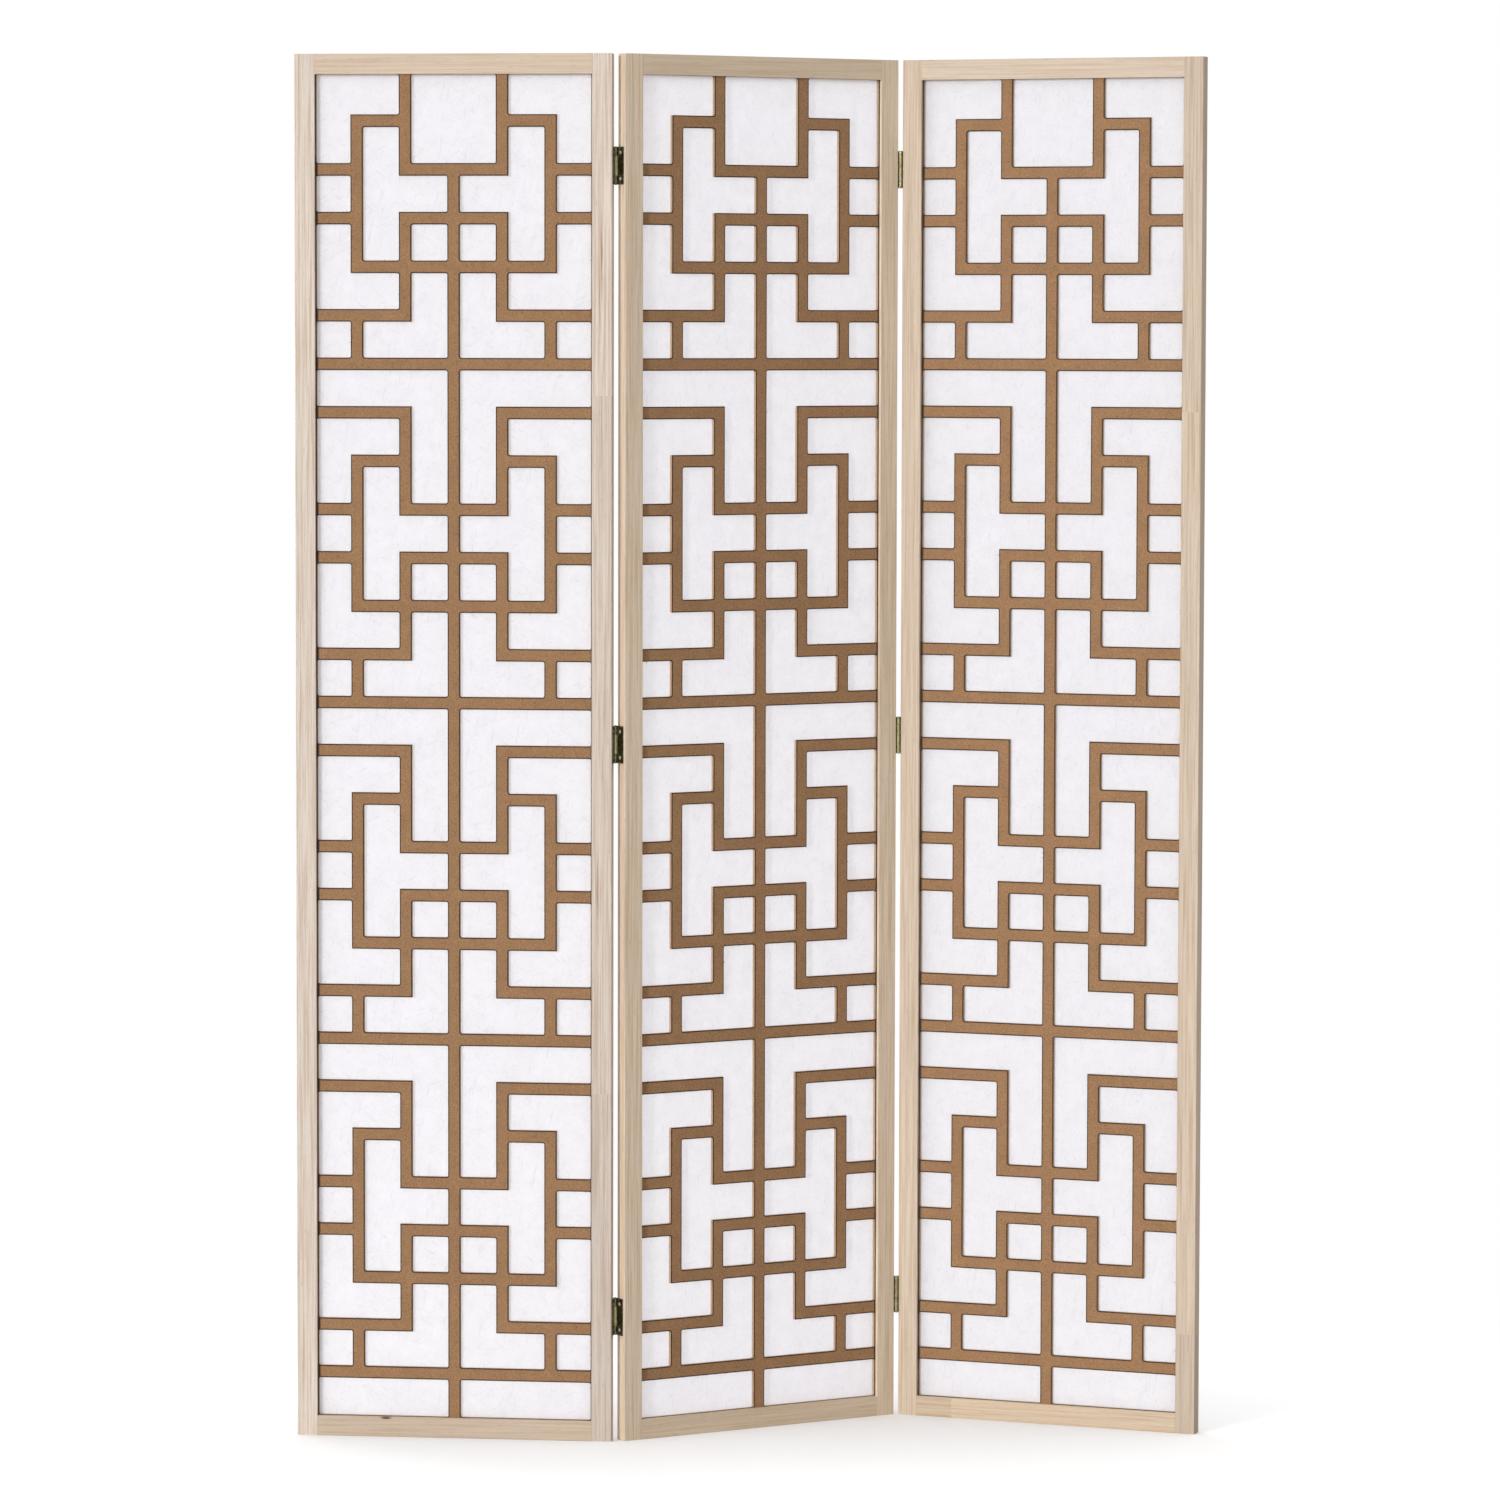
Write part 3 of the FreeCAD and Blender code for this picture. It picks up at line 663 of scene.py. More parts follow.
@dataclass(frozen=True)
class AntiqueBrass:
    """Lacquered antique brass: dark olive plate with rubbed blotches, and a painted highlight along
    the rolled knuckles.

    axis is a point on the fold's axis, which the knuckles lie round.
    """

    name: str
    axis: Vector
    # shine is how strong the painted highlight along the knuckles is, and the light colour below
    # serves both the rubbed blotches and that highlight
    shine: float = 0.25
    patina: str = "#463D24"
    rubbed_and_highlight: str = "#D6D09C"
    barrel_radius: float = 2.1 * MM
    # how softly the painted highlight on the knuckles ends, as shares of their radius
    barrel_edge: tuple[float, float] = (1.15, 0.9)
    blotch: float = 4 * MM
    wear: Ramp = Ramp(0.35, 0.7, 0.0, 0.3)
    relief: tuple[float, float] = (0.15, 0.05 * MM)
    metallic: float = 0.9
    roughness: float = 0.38

    def build(self) -> Material:
        """Make the plating's material.

        Returns:
            The material.
        """
        material, tree, place = new_material(self.name)
        settings = {"operation": "SUBTRACT", 1: self.axis}
        offset = add_node(tree, "VectorMath", settings, {0: place})
        settings = {"operation": "MULTIPLY", 1: (1.0, 1.0, 0.0)}
        flat = add_node(tree, "VectorMath", settings, {0: offset})
        distance = add_node(tree, "VectorMath", {"operation": "LENGTH"}, {0: flat})
        # a painted highlight along the knuckles, round the fold's axis
        start, end = (self.barrel_radius * share for share in self.barrel_edge)
        settings = Ramp(start, end, 0.0, self.shine).settings()
        knuckle_highlight = add_node(tree, "MapRange", settings, {"Value": distance})
        settings = {"Scale": 1 / self.blotch, "Detail": 3.0}
        blotches = add_node(tree, "TexNoise", settings, {"Vector": place})
        worn_and_highlight = add_node(tree, "MapRange", self.wear.settings(), {"Value": blotches})
        settings = {"operation": "ADD", "use_clamp": True}
        share = add_node(tree, "Math", settings, {0: knuckle_highlight, 1: worn_and_highlight})
        settings = {"data_type": "RGBA", 6: linear(self.patina), 7: linear(self.rubbed_and_highlight)}
        colour = add_node(tree, "Mix", settings, {0: share})
        gloss = {"Metallic": self.metallic, "Roughness": self.roughness}
        coat(tree, colour, None, blotches, self.relief, gloss)
        return material


@dataclass(frozen=True)
class ZincPlate:
    """Bright zinc-plated steel: pale grey with a faint cloudy haze."""

    name: str = "zinc_plate"
    bright: str = "#F6F5F0"
    dull: str = "#DAD8D0"
    cloud: float = 1.5 * MM
    metallic: float = 0.4
    roughness: float = 0.28

    def build(self) -> Material:
        """Make the plating's material.

        Returns:
            The material.
        """
        material, tree, place = new_material(self.name)
        settings = {"Scale": 1 / self.cloud, "Detail": 2.0}
        clouds = add_node(tree, "TexNoise", settings, {"Vector": place})
        settings = {"data_type": "RGBA", 6: linear(self.bright), 7: linear(self.dull)}
        colour = add_node(tree, "Mix", settings, {0: clouds})
        settings = {"Metallic": self.metallic, "Roughness": self.roughness}
        shader = add_node(tree, "BsdfPrincipled", settings, {"Base Color": colour})
        add_node(tree, "OutputMaterial", links={"Surface": shader})
        return material


# ---------------------------------------------------------------- leaves


def dress(node: str, material: Material) -> None:
    """Give a CAD node its material.

    Args:
        node: the node's name.
        material: its material.
    """
    piece = frame["nodes"][node]
    piece.data.materials.clear()
    piece.data.materials.append(material)
    log.info("dressed %s in %s", node, material.name)


def place_piece(piece: Object, body: str, node: str | None = None) -> None:
    """Let a piece ride on its body and stand for its CAD node.

    Args:
        piece: the piece.
        body: the body it rides on.
        node: the node it stands for, if it does.
    """
    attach(piece, body)
    if node:
        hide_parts(node)
    log.info("made %s on %s, %d faces", piece.name, body, len(piece.data.polygons))


def counter_clockwise(loop: list[Vector]) -> list[Vector]:
    """The loop's points in counter-clockwise order."""
    area = sum(a.cross(b) for a, b in zip(loop, loop[1:] + loop[:1]))
    return loop if area > 0 else loop[::-1]


def lift(points: list[Vector], depth: float) -> list[Vector]:
    """Flat points of a leaf's face at a depth behind its front."""
    return [Vector((point.x, depth, point.y)) for point in points]


def facing(points: list[Vector], corners: list[int], towards: int) -> list[int]:
    """Turn a triangle so that it faces one way.

    Args:
        points: the points that the corners are numbers of.
        corners: the triangle's corners.
        towards: -1 for the leaf's front and 1 for its back.

    Returns:
        The corners in the order that makes it face there.
    """
    first, second, third = (points[number] for number in corners)
    normal = (second - first).cross(third - first)
    return corners if normal.y * towards > 0 else corners[::-1]


@dataclass
class Fretwork:
    """The routed sheet of one leaf: the CAD sheet's openings with the cutter's round corners."""

    leaf: LeafFrame
    face: Material
    rim: Material
    wall: Material
    cutter_radius: float = 2.2 * MM
    # the dark rim round each opening is a darker cut edge, deepened with painted shade
    rim_width: float = 1.4 * MM
    rim_drop: float = 0.4 * MM
    arc_steps: int = 5
    # the openings next to the rails reach nearer to them than those next to the stiles
    top_reach: float = 1.3 * MM
    bottom_reach: float = 0.9 * MM
    # a face whose normal points to the front by at least this much is on the sheet's front
    front_facing: float = 0.9
    outlines: list[list[Vector]] = field(default_factory=list)

    @property
    def node(self) -> str:
        """The CAD sheet's name."""
        return f"{self.leaf.name}_fretwork"

    def front_loops(self) -> list[list[Vector]]:
        """Follow the edges of the CAD sheet's front face.

        Returns:
            The corners of every loop, counter-clockwise.
        """
        bm = self.leaf.welded(self.node)
        front = min(vertex.co.y for vertex in bm.verts)
        beside: dict[int, list[int]] = {}
        for edge in bm.edges:
            in_front = all(abs(vertex.co.y - front) < SAME_PLACE for vertex in edge.verts)
            facing_front = sum(face.normal.y < -self.front_facing for face in edge.link_faces)
            if in_front and facing_front == 1:
                first, second = (vertex.index for vertex in edge.verts)
                beside.setdefault(first, []).append(second)
                beside.setdefault(second, []).append(first)
        bm.verts.ensure_lookup_table()
        unused = set(beside)
        loops = []
        while unused:
            current = min(unused)
            loop = []
            while current is not None:
                unused.discard(current)
                loop.append(bm.verts[current].co.xz)
                current = next((other for other in beside[current] if other in unused), None)
            loops.append(counter_clockwise(loop))
        bm.free()
        return loops

    def read_outlines(self) -> None:
        """Read the corners of every opening, and first the sheet's own, from the CAD sheet."""
        loops = self.front_loops()
        loops.sort(key=lambda loop: -max((point - loop[0]).length for point in loop))
        openings = [point for loop in loops[1:] for point in loop]
        top = max(point.y for point in openings) - SAME_PLACE
        bottom = min(point.y for point in openings) + SAME_PLACE
        for point in openings:
            if point.y > top:
                point.y += self.top_reach
            elif point.y < bottom:
                point.y -= self.bottom_reach
        self.outlines = loops

    def routed(self, corners: list[Vector], grow: float) -> list[Vector]:
        """Draw an opening's outline as the cutter leaves it.

        Args:
            corners: the opening's corners, counter-clockwise.
            grow: how far the outline stands off into the bars.

        Returns:
            The outline's points. A corner that points into a bar is an arc.
        """
        points = []
        for index, corner in enumerate(corners):
            arriving = (corner - corners[index - 1]).normalized()
            leaving = (corners[(index + 1) % len(corners)] - corner).normalized()
            if arriving.cross(leaving) > 0:
                centre = corner + (leaving - arriving) * self.cutter_radius
                first = math.atan2(-leaving.y, -leaving.x)
                for step in range(self.arc_steps + 1):
                    angle = first + math.pi / 2 * step / self.arc_steps
                    direction = Vector((math.cos(angle), math.sin(angle)))
                    points.append(centre + direction * (self.cutter_radius + grow))
            else:
                outwards = Vector((arriving.y, -arriving.x)) + Vector((leaving.y, -leaving.x))
                points.append(corner + outwards * grow)
        return points

    def build(self) -> None:
        """Make the sheet with a fine dark rim round every opening: a darker cut edge, deepened with
        painted shade.
        """
        self.read_outlines()
        low, high = self.leaf.span(self.node)
        builder = MeshBuilder()
        layers = ((low.y, self.rim_width), (low.y + self.rim_drop, 0.0), (high.y, 0.0))
        sheet = self.outlines[0]
        front_loops, back_loops = [sheet], [sheet]
        front_numbers = builder.add_points(lift(sheet, low.y))
        back_numbers = builder.add_points(lift(sheet, high.y))
        builder.bridge(front_numbers, back_numbers, 2, Ring.OUTWARDS)
        for corners in self.outlines[1:]:
            flat_rings = [self.routed(corners, grow) for _, grow in layers]
            rings = [
                builder.add_points(lift(ring, depth))
                for ring, (depth, _) in zip(flat_rings, layers)
            ]
            builder.bridge(rings[0], rings[1], 1, Ring.INWARDS)
            builder.bridge(rings[1], rings[2], 2, Ring.INWARDS)
            front_loops.append(flat_rings[0])
            back_loops.append(flat_rings[2])
            front_numbers += rings[0]
            back_numbers += rings[2]
        faces = ((front_loops, front_numbers, -1), (back_loops, back_numbers, 1))
        for loops, numbers, towards in faces:
            # the tessellation takes points under a millimetre apart as one, unless scaled
            flat = [[Vector((point.x, point.y, 0)) / MM for point in loop] for loop in loops]
            for triple in geometry.tessellate_polygon(flat):
                corners = [numbers[index] for index in triple]
                builder.add_face(facing(builder.points, corners, towards))
        name = f"{self.leaf.name}_routed_fretwork"
        mesh = builder.build(name, self.leaf.to_row, [self.face, self.rim, self.wall])
        place_piece(new_piece(name, mesh), self.leaf.name, self.node)


@dataclass
class TornFibres:
    """Fibres that the cutter left standing on the rims of one leaf's openings.

    Their lengths, their radii and their depths behind the sheet's front are ranges in mm.
    """

    leaf: LeafFrame
    openings: list[list[Vector]]
    front: float
    material: Material
    count: int = 70
    lengths: tuple[float, float] = (1.2, 3.0)
    radii: tuple[float, float] = (0.14, 0.32)
    depths: tuple[float, float] = (0.3, 1.2)
    # where on a side they may stand, and how far they lean and bend, in radians
    sides_share: tuple[float, float] = (0.1, 0.9)
    lean: float = 0.9
    bend: float = 0.5
    taper: float = 0.7
    rise: float = 0.3 * MM
    rooted: float = 0.1 * MM
    steps: int = 3
    corners: int = 4

    def add_fibre(self, builder: MeshBuilder, chance: random.Random) -> None:
        """Add one fibre.

        Args:
            builder: takes its points and faces.
            chance: gives its place and its shape.
        """
        outline = chance.choice(self.openings)
        index = chance.randrange(len(outline))
        start, end = outline[index - 1], outline[index]
        along = (end - start).normalized()
        inwards = Vector((-along.y, along.x))
        root = start.lerp(end, chance.uniform(*self.sides_share)) - inwards * self.rooted
        lean = chance.uniform(-self.lean, self.lean)
        length = chance.uniform(*self.lengths) * MM
        thick = chance.uniform(*self.radii) * MM
        depth = self.front + chance.uniform(*self.depths) * MM
        rings = []
        for step in range(self.steps + 1):
            share = step / self.steps
            bend = lean + share * chance.uniform(-self.bend, self.bend)
            spot = root + (inwards * math.cos(bend) + along * math.sin(bend)) * length * share
            radius = thick * (1 - self.taper * share)
            middle = Vector((spot.x, depth - share * self.rise, spot.y))
            ring = []
            for turn in range(self.corners):
                angle = 2 * math.pi * turn / self.corners
                across = Vector((along.x, 0, along.y)) * math.cos(angle)
                ring.append(middle + (across + Vector((0, 1, 0)) * math.sin(angle)) * radius)
            rings.append(builder.add_points(ring))
        for ring, following in zip(rings, rings[1:]):
            builder.bridge(ring, following, 0, Ring.OUTWARDS)
        builder.add_face(rings[0][::-1])
        builder.add_face(rings[-1])

    def build(self, number: int) -> None:
        """Make the fibres as one piece.

        Args:
            number: seeds the places, so that no two leaves have the same.
        """
        chance = random.Random(number)
        builder = MeshBuilder()
        for _ in range(self.count):
            self.add_fibre(builder, chance)
        name = f"{self.leaf.name}_torn_fibres"
        mesh = builder.build(name, self.leaf.to_row, [self.material])
        place_piece(new_piece(name, mesh), self.leaf.name)


@dataclass
class PaperSheet:
    """The paper behind one leaf's fretwork, held all round and a little slack between."""

    leaf: LeafFrame
    material: Material
    cell: float = 12 * MM
    thickness: float = 0.2 * MM
    slack: float = 0.55 * MM
    # the slack starts at held_share of held_margin in from the edge
    held_margin: float = 12 * MM
    held_share: float = 0.6
    wave: float = 70 * MM
    smooth_angle: float = 60.0

    def side(self, low: Vector, high: Vector, behind: float, seed: float) -> list[list[Vector]]:
        """Lay out one side of the sheet.

        Args:
            low: the lowest corner of the sheet's space.
            high: its highest corner.
            behind: how far this side lies behind the front one.
            seed: moves the waves.

        Returns:
            The points, row by row from the bottom.
        """
        columns = round((high.x - low.x) / self.cell)
        rows = round((high.z - low.z) / self.cell)
        side = []
        for row in range(rows + 1):
            z = low.z + (high.z - low.z) * row / rows
            points = []
            for column in range(columns + 1):
                x = low.x + (high.x - low.x) * column / columns
                edge = min(x - low.x, high.x - x, z - low.z, high.z - z)
                free = min(1.0, max(0.0, edge / self.held_margin - self.held_share))
                # the noise is from -1 to 1, and the wave from 0 to 1
                wave = noise.noise(Vector((x, z, seed)) / self.wave) * 0.5 + 0.5
                points.append(Vector((x, low.y + behind + self.slack * free * wave, z)))
            side.append(points)
        return side

    def build(self, seed: float) -> None:
        """Make the sheet in the space of its CAD solid.

        Args:
            seed: moves the waves, so that no two sheets are alike.
        """
        node = f"{self.leaf.name}_paper"
        low, high = self.leaf.span(node)
        builder = MeshBuilder()
        sides = []
        for behind in (0.0, self.thickness):
            points = self.side(low, high, behind, seed)
            sides.append([builder.add_points(row) for row in points])
        rims = []
        for side, order in zip(sides, (1, -1)):
            for lower, upper in zip(side, side[1:]):
                for following in range(1, len(lower)):
                    corners = lower[following - 1:following + 1]
                    corners += upper[following - 1:following + 1][::-1]
                    builder.add_face(corners[::order])
            right = [row[-1] for row in side[1:-1]]
            left = [row[0] for row in side[-2:0:-1]]
            rims.append(side[0] + right + side[-1][::-1] + left)
        builder.bridge(rims[0], rims[1], 0, Ring.INWARDS)
        name = f"{self.leaf.name}_paper_sheet"
        mesh = builder.build(name, self.leaf.to_row, [self.material])
        piece = new_piece(name, mesh, self.smooth_angle)
        place_piece(piece, self.leaf.name, node)


# how stiles and rails differ on every leaf: rails are darker and show their rings less
BOARD_KINDS = {
    "stile": {"grain": Grain.UPRIGHT, "ring_contrast": 0.8},
    "rail": {"grain": Grain.LEVEL, "ring_contrast": 0.6, "pale": "#DBC7B2", "late_wood": "#C3A686"},
}


@dataclass
class Leaf:
    """One leaf: four boards of pine round the fretwork and its paper.

    boards has what differs on this leaf from PineBoard's own values, for its stiles, its rails
    or one board by name.
    """

    name: str
    number: int
    # how wide the painted shade along its left and right stile is, in metres
    painted_corner_shade: tuple[float, float]
    boards: dict[str, dict] = field(default_factory=dict)
    board_names: tuple[str, ...] = ("left_stile", "right_stile", "top_rail", "bottom_rail")
    # moves the grain from board to board, and the paper's waves from leaf to leaf
    board_seed: float = 0.11
    paper_seed: float = 0.5

    def build(self, rim: Material, wall: Material, paper: Material) -> None:
        """Dress the leaf's boards and make its fretwork and paper.

        Args:
            rim: the material of the dark rims of the fretwork's openings, a darker cut edge
                deepened with painted shade.
            wall: the material of the openings' cut walls.
            paper: the material of the paper.
        """
        leaf = read_leaf_frame(self.name)
        for index, board in enumerate(self.board_names):
            kind = board.split("_")[1]
            finish = PineBoard(
                name=f"pine_{self.name}_{board}",
                leaf=leaf,
                seed=self.board_seed * (self.number * len(self.board_names) + index + 1),
                **{**BOARD_KINDS[kind], **self.boards.get(kind, {}), **self.boards.get(board, {})},
            )
            dress(f"{self.name}_{board}", finish.build())
        face = Fibreboard(
            f"hardboard_face_{self.name}", leaf=leaf, painted_corner_shade=self.painted_corner_shade
        )
        fretwork = Fretwork(leaf, face.build(), rim, wall)
        fretwork.build()
        front = leaf.span(fretwork.node)[0].y
        TornFibres(leaf, fretwork.outlines[1:], front, rim).build(self.number)
        PaperSheet(leaf, paper).build(self.paper_seed * self.number)


# ---------------------------------------------------------------- hinges


@dataclass
class Fold:
    """One fold's three butt hinges: plates, pins and the screws in the two leaves."""

    name: str
    screw_groups: dict[str, str]
    # the plate whose knuckles get a stronger painted highlight, if any
    highlight_plate: str = ""
    highlight_shine: float = 0.85
    hinge_names: tuple[str, ...] = ("bottom", "middle", "top")
    part_names: tuple[str, ...] = ("left_plate", "right_plate", "pin")

    def build(self, screw_metal: Material) -> None:
        """Dress the plates and pins, and make the slotted screws.

        Args:
            screw_metal: the screws' material.
        """
        joint = next(j for j in frame["joints"] if j["name"] == f"{self.name}_fold")
        axis = Vector(joint["pos_m"])
        brass = AntiqueBrass(f"antique_brass_{self.name}", axis).build()
        metals = dict.fromkeys(self.part_names, brass)
        # one plate gets a stronger painted highlight on its knuckles
        if self.highlight_plate:
            worn_and_highlight = AntiqueBrass(f"brass_painted_highlight_{self.name}", axis, self.highlight_shine)
            metals[self.highlight_plate] = worn_and_highlight.build()
        for hinge in self.hinge_names:
            for part, metal in metals.items():
                dress(f"{self.name}_{hinge}_hinge_{part}", metal)
        for node, leaf_name in self.screw_groups.items():
            SlottedScrews(node, leaf_name).build(screw_metal)


@dataclass
class SlottedScrews:
    """A leaf edge's hinge screws: raised countersunk heads with a straight slot."""

    node: str
    leaf_name: str
    segments: int = 32
    head_rise: float = 0.25 * MM
    head_sink: float = 0.85 * MM
    # the raised head's curve: how far out, as shares of its radius, it has dropped so far
    dome: tuple[tuple[float, float], ...] = ((0.35, 0.02 * MM), (0.7, 0.1 * MM), (0.93, 0.2 * MM))
    slot_width: float = 0.55 * MM
    slot_depth: float = 0.5 * MM
    # the slot's cutter is this many head radii long, to reach past both sides
    slot_length: float = 2.4
    plain_shank: float = 1 * MM
    point: float = 3 * MM
    thread_pitch: float = 1.1 * MM
    thread_depth: float = 0.28 * MM

    def shells(self, leaf: LeafFrame) -> list[tuple[Vector, Vector]]:
        """Find the group's screws.

        Args:
            leaf: the frame of the leaf that they are in.

        Returns:
            The lowest and highest corner of each screw in the leaf's axes.
        """
        bm = leaf.welded(self.node)
        unseen = set(bm.verts)
        found = []
        while unseen:
            stack = [min(unseen, key=lambda vertex: vertex.index)]
            unseen.discard(stack[0])
            points = []
            while stack:
                vertex = stack.pop()
                points.append(vertex.co.copy())
                others = [edge.other_vert(vertex) for edge in vertex.link_edges]
                stack += [other for other in others if other in unseen]
                unseen.difference_update(others)
            found.append(corners_of(points))
        bm.free()
        return found

    def profile(self, head: float, length: float) -> list[tuple[float, float]]:
        """Draw half of the screw's outline.

        Args:
            head: the head's radius.
            length: the screw's length over all.

        Returns:
            Its radii and heights, from the top of the head at Z = 0 down to the point.
        """
        core = head - self.head_sink
        root = core - self.thread_depth
        neck = -self.head_rise - self.head_sink
        points = [(0.0, 0.0), *((head * share, -drop) for share, drop in self.dome),
                  (head, -self.head_rise), (core, neck)]
        height = neck - self.plain_shank
        points.append((root, height))
        for _ in range(int((length + neck - self.point) / self.thread_pitch)):
            points.append((core, height - self.thread_pitch / 2))
            height -= self.thread_pitch
            points.append((root, height))
        points.append((0.0, -length))
        return points

    def blank(self, head: float, length: float) -> Mesh:
        """Turn one screw along -Z with the top of its head at Z = 0.

        Args:
            head: the head's radius.
            length: the screw's length over all.

        Returns:
            The screw's mesh, before its slot is cut.
        """
        bm = bmesh.new()
        rings = []
        for radius, z in self.profile(head, length):
            angles = [2 * math.pi * step / self.segments for step in range(self.segments)]
            if radius == 0.0:
                angles = [0.0]
            rings.append([
                bm.verts.new((radius * math.cos(angle), radius * math.sin(angle), z))
                for angle in angles
            ])
        for upper, lower in zip(rings, rings[1:]):
            for step in range(self.segments):
                after = (step + 1) % self.segments
                corners = [upper[step % len(upper)], lower[step % len(lower)],
                           lower[after % len(lower)], upper[after % len(upper)]]
                bm.faces.new(list(dict.fromkeys(corners)))
        return take_mesh(bm, "hinge_screw")

    def cut_slot(self, mesh: Mesh, length: float) -> Mesh:
        """Cut a straight slot across a screw's head.

        Args:
            mesh: the screw. It is removed.
            length: how long the cutter is.

        Returns:
            The screw's mesh with the slot in it.
        """
        bm = bmesh.new()
        bmesh.ops.create_cube(bm, size=1.0)
        size = (length, self.slot_width, self.slot_depth * 2)
        bmesh.ops.scale(bm, vec=size, verts=bm.verts)
        cutter_mesh = take_mesh(bm, "slot_cutter")
        cutter = add_object("slot_cutter", cutter_mesh)
        screw = add_object("screw_blank", mesh)
        modifier = screw.modifiers.new("slot", "BOOLEAN")
        modifier.object = cutter
        modifier.operation = "DIFFERENCE"
        modifier.solver = "EXACT"
        graph = bpy.context.evaluated_depsgraph_get()
        slotted = bpy.data.meshes.new_from_object(screw.evaluated_get(graph))
        for thing in (cutter, screw):
            bpy.data.objects.remove(thing)
        for used in (cutter_mesh, mesh):
            bpy.data.meshes.remove(used)
        return slotted

    def build(self, metal: Material) -> None:
        """Make every screw of the group as one piece.

        Args:
            metal: the screws' material.
        """
        leaf = read_leaf_frame(self.leaf_name)
        chance = random.Random(self.node)
        shells = self.shells(leaf)
        low, high = shells[0]
        head = (high.z - low.z) / 2
        screw = self.cut_slot(self.blank(head, high.x - low.x), head * self.slot_length)
        bm = bmesh.new()
        for low, high in shells:
            middle = (low + high) / 2
            at_right = middle.x > leaf.width / 2
            top = Vector((high.x if at_right else low.x, middle.y, middle.z))
            aim = Matrix.Rotation(math.radians(90 if at_right else -90), 4, "Y")
            spin = Matrix.Rotation(chance.uniform(0, math.pi), 4, "Z")
            part = screw.copy()
            part.transform(leaf.to_row @ Matrix.Translation(top) @ aim @ spin)
            bm.from_mesh(part)
            bpy.data.meshes.remove(part)
        name = self.node.replace("hinge_screws", "slotted_screws")
        mesh = take_mesh(bm, name)
        bpy.data.meshes.remove(screw)
        mesh.materials.append(metal)
        place_piece(new_piece(name, mesh), self.leaf_name, self.node)


# ---------------------------------------------------------------- studio


def seen_directly(tree: NodeTree) -> Node:
    """Tell what is seen from what only lights the scene.

    Args:
        tree: the tree of the backdrop's or the floor's nodes.

    Returns:
        1 for rays from the camera, a mirror or glass, and 0 for light that bounces.
    """
    path = add_node(tree, "LightPath").outputs
    links = {0: path["Is Camera Ray"], 1: path["Is Glossy Ray"]}
    either = add_node(tree, "Math", {"operation": "MAXIMUM"}, links)
    links = {0: either, 1: path["Is Transmission Ray"]}
    return add_node(tree, "Math", {"operation": "MAXIMUM"}, links)


@dataclass(frozen=True)
class WhiteFloor:
    """Matt white paint that looks white all over, with a soft shadow near the screen that is partly
    painted.

    Its own glow lifts it to white, less where the screen stands close over it, which paints the
    shadow there.
    """

    name: str = "white_floor"
    paint: str = "#E7E7E7"
    lift: float = 0.58
    reach: float = 0.5
    shadow_samples: int = 16
    # how far out the floor fades into the backdrop, in metres
    fade: Ramp = Ramp(0.7, 1.6)

    def build(self) -> Material:
        """Make the floor's material.

        Returns:
            The material.
        """
        material, tree, place = new_material(self.name)
        distance = add_node(tree, "VectorMath", {"operation": "LENGTH"}, {0: place})
        settings = self.fade.settings(interpolation_type="SMOOTHSTEP")
        far = add_node(tree, "MapRange", settings, {"Value": distance})
        seen = seen_directly(tree)
        # the glow dims where the screen hides the sky, which paints a soft shadow near it
        settings = {"samples": self.shadow_samples, "Distance": self.reach}
        open_sky = add_node(tree, "AmbientOcclusion", settings).outputs["AO"]
        settings = {"operation": "MULTIPLY", 1: self.lift}
        lifted = add_node(tree, "Math", settings, {0: open_sky})
        strength = add_node(tree, "Math", {"operation": "MULTIPLY"}, {0: lifted, 1: seen})
        matt = add_node(tree, "BsdfDiffuse", {"Color": linear(self.paint)})
        glow = add_node(tree, "Emission", links={"Strength": strength})
        near = add_node(tree, "AddShader", links={0: matt, 1: glow})
        white = add_node(tree, "Emission", {"Strength": 1.0})
        fade = add_node(tree, "Math", {"operation": "MULTIPLY"}, {0: far, 1: seen})
        surface = add_node(tree, "MixShader", links={0: fade, 1: near, 2: white})
        add_node(tree, "OutputMaterial", links={"Surface": surface})
        return material


@dataclass(frozen=True)
class Lamp:
    """A far, wide lamp, which lights the whole height of the screen alike.

    In degrees, turn is where it stands, round from the front towards the right, slope is how
    far its light comes down, and spread is how wide it looks from the screen.
    """

    name: str
    turn: float
    slope: float
    spread: float
    strength: float

    def hang(self) -> None:
        """Hang the lamp."""
        data = bpy.data.lights.new(self.name, "SUN")
        data.energy = self.strength
        data.angle = math.radians(self.spread)
        tilt = Matrix.Rotation(math.radians(90 - self.slope), 4, "X")
        turn = Matrix.Rotation(math.radians(self.turn), 4, "Z")
        add_object(self.name, data).matrix_world = turn @ tilt


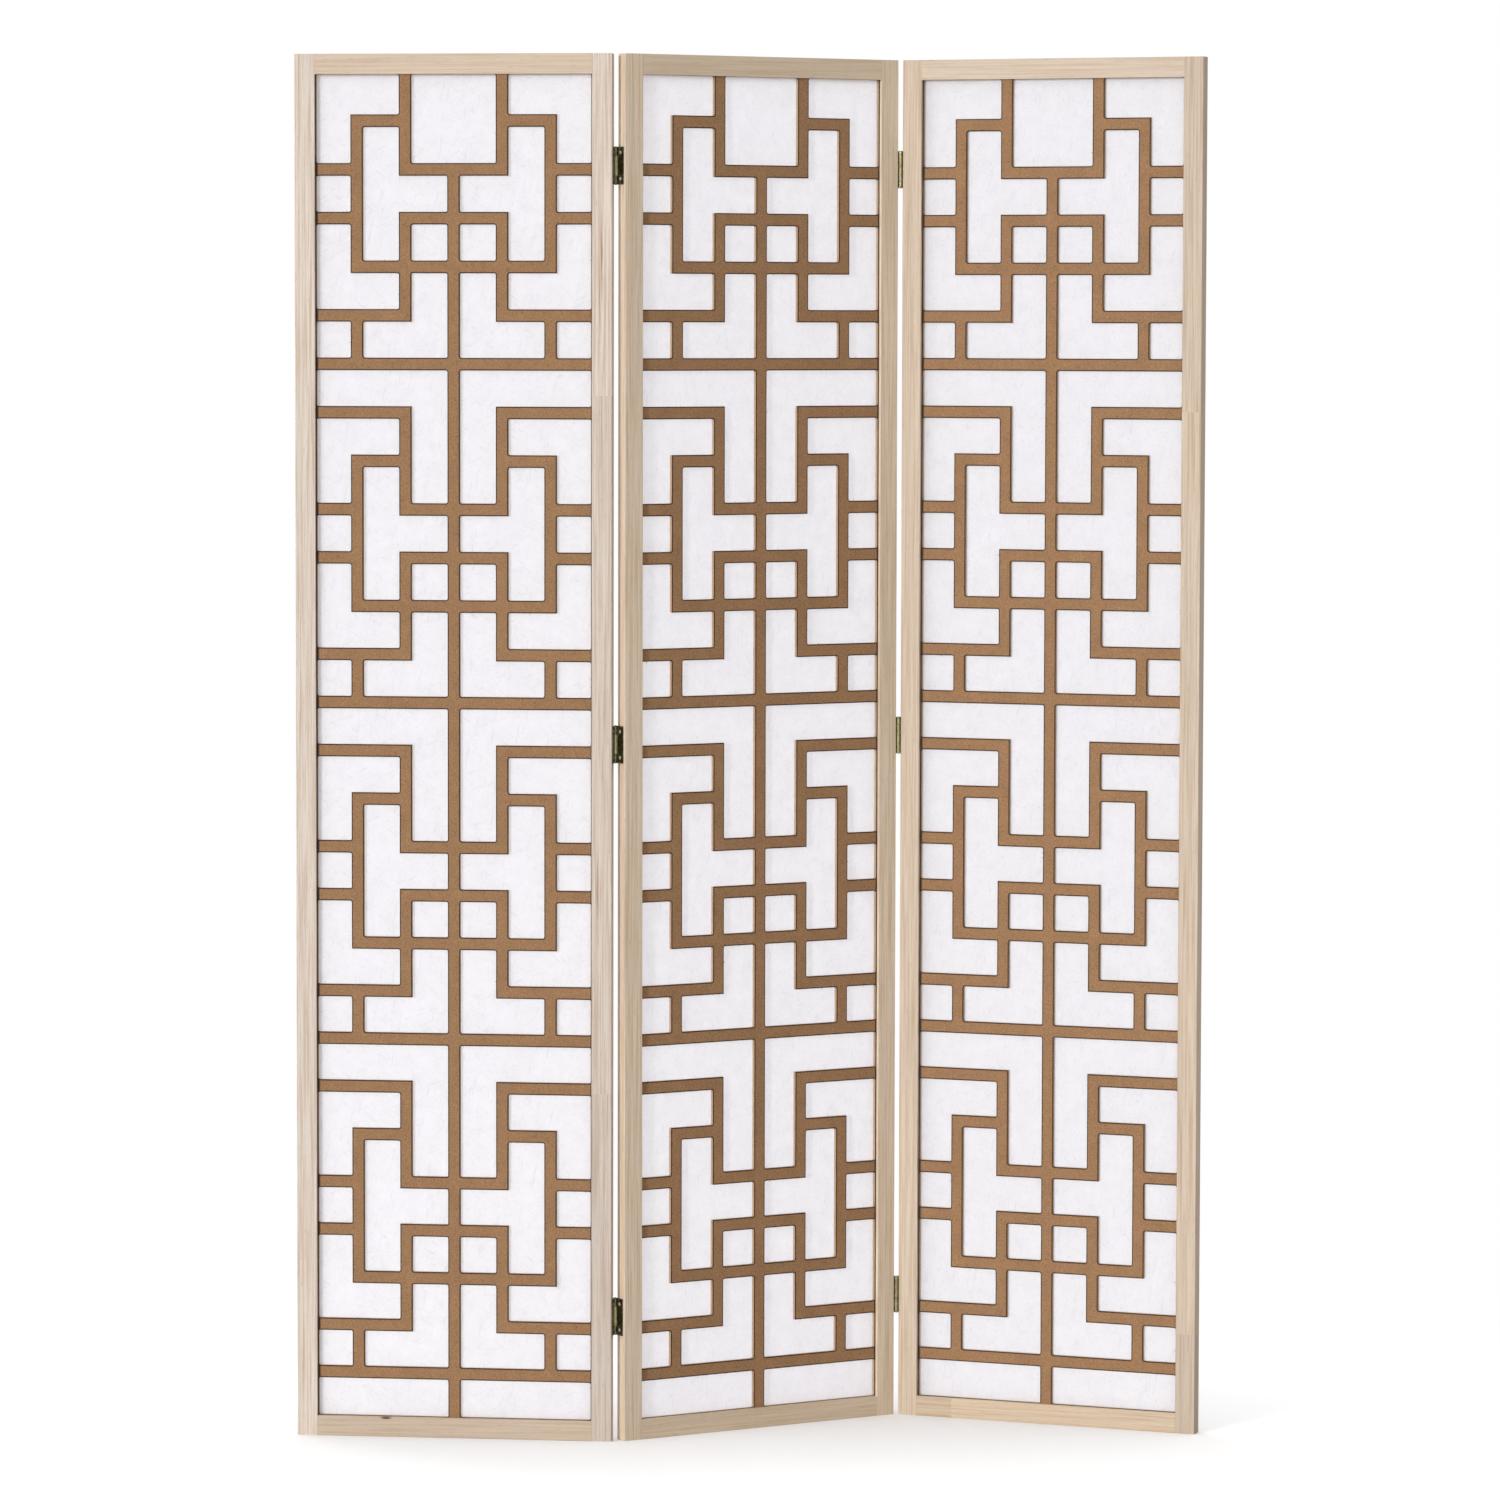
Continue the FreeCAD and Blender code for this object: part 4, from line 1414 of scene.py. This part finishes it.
@dataclass
class Studio:
    """Camera at the photograph's place, white floor and backdrop, and soft lamps."""

    camera_place: tuple[float, float, float] = (0.126, -8.35, 1.452)
    camera_pitch: float = -3.88
    camera_yaw: float = 0.874
    camera_roll: float = 0.126
    lens: float = 154.9
    sensor_width: float = 36.0
    view_length: float = 100.0
    ambient: float = 0.466
    floor: WhiteFloor = WhiteFloor()
    floor_size: float = 30.0
    # a key lamp at the front left, and one behind that shines through the paper
    lamps: tuple[Lamp, ...] = (
        Lamp("key_lamp", turn=-37.0, slope=11.0, spread=9.0, strength=1.91),
        Lamp("back_lamp", turn=222.0, slope=8.0, spread=40.0, strength=1.5),
    )

    def build_camera(self) -> None:
        """Set up the camera, level with the upper half of the screen."""
        data = bpy.data.cameras.new("camera")
        data.lens = self.lens
        data.sensor_width = self.sensor_width
        data.clip_end = self.view_length
        camera = add_object("camera", data)
        camera.matrix_world = (
            Matrix.Translation(self.camera_place)
            @ Matrix.Rotation(math.radians(self.camera_yaw), 4, "Z")
            @ Matrix.Rotation(math.radians(90 + self.camera_pitch), 4, "X")
            @ Matrix.Rotation(math.radians(self.camera_roll), 4, "Z")
        )
        bpy.context.scene.camera = camera

    def build_world(self) -> None:
        """Even pale light from all round, in front of a white backdrop."""
        world = bpy.data.worlds.new("studio")
        world.use_nodes = True
        tree = world.node_tree
        tree.nodes.clear()
        settings = Ramp(0.0, 1.0, self.ambient, 1.0).settings()
        strength = add_node(tree, "MapRange", settings, {"Value": seen_directly(tree)})
        settings = {"Color": linear("#FFFFFF")}
        light = add_node(tree, "Background", settings, {"Strength": strength})
        add_node(tree, "OutputWorld", links={"Surface": light})
        bpy.context.scene.world = world

    def build_floor(self) -> None:
        """A white floor that keeps the screen's soft shadow and fades into the backdrop."""
        bm = bmesh.new()
        bmesh.ops.create_grid(bm, x_segments=1, y_segments=1, size=self.floor_size)
        mesh = take_mesh(bm, "floor")
        mesh.materials.append(self.floor.build())
        add_object("floor", mesh)

    def build(self) -> None:
        """Set up the whole studio."""
        self.build_camera()
        self.build_world()
        self.build_floor()
        for lamp in self.lamps:
            lamp.hang()
        bpy.context.scene.view_settings.view_transform = "Standard"


# ---------------------------------------------------------------- the screen

LEAVES = (
    Leaf("left_leaf", 0, painted_corner_shade=(3.6 * MM, 1.7 * MM), boards={
        "right_stile": {
            "joints": (0.45, 1.345),
            "block_tones": (0.86, 0.92, 1.0),
            "streaks": (
                Streak(1.42, 1.60, 0.396, 6 * MM, 1.6),
                Streak(0.62, 0.80, 0.392, 5 * MM, 1.4),
            ),
        },
        "bottom_rail": {
            "block_tones": (0.88,),
            "streaks": (Streak(0.106, 0.126, 0.0245, 2.6 * MM, 1.5, knot=True),),
        },
    }),
    Leaf("centre_leaf", 1, painted_corner_shade=(1.4 * MM, 2.4 * MM), boards={
        "stile": {"pale": "#E3D0B9", "late_wood": "#C8AB89"},
        "rail": {"pale": "#DCC8AF", "late_wood": "#C4A582"},
    }),
    Leaf("right_leaf", 2, painted_corner_shade=(3.4 * MM, 1.7 * MM), boards={
        "stile": {"pale": "#D7C5B1", "late_wood": "#BA9D7F"},
        "rail": {"pale": "#D8C6B2", "late_wood": "#BFA487"},
        "right_stile": {"joints": (0.13, 1.325), "block_tones": (0.89, 1.0, 0.95)},
        "bottom_rail": {
            "joints": (0.075,),
            "block_tones": (0.9, 1.0),
            "pale": "#D8C4AB",
            "late_wood": "#BC9870",
        },
    }),
)
FOLDS = (
    Fold("left", {
        "left_leaf_right_hinge_screws": "left_leaf",
        "centre_leaf_left_hinge_screws": "centre_leaf",
    }, highlight_plate="left_plate"),
    Fold("right", {
        "centre_leaf_right_hinge_screws": "centre_leaf",
        "right_leaf_left_hinge_screws": "right_leaf",
    }),
)


def main() -> None:
    """Build the studio, the leaves and the folds."""
    logging.basicConfig(level=logging.INFO, format="%(name)s: %(message)s")
    Studio().build()
    # the rims are near black: a darker cut edge, deepened with painted shade
    rim = Fibreboard("hardboard_rim", "#34200E", "#241306").build()
    wall = Fibreboard("hardboard_wall", "#B99C80", "#86684E").build()
    paper = MulberryPaper().build()
    for leaf in LEAVES:
        leaf.build(rim, wall, paper)
    screw_metal = ZincPlate().build()
    for fold in FOLDS:
        fold.build(screw_metal)


if __name__ == "__main__":
    main()
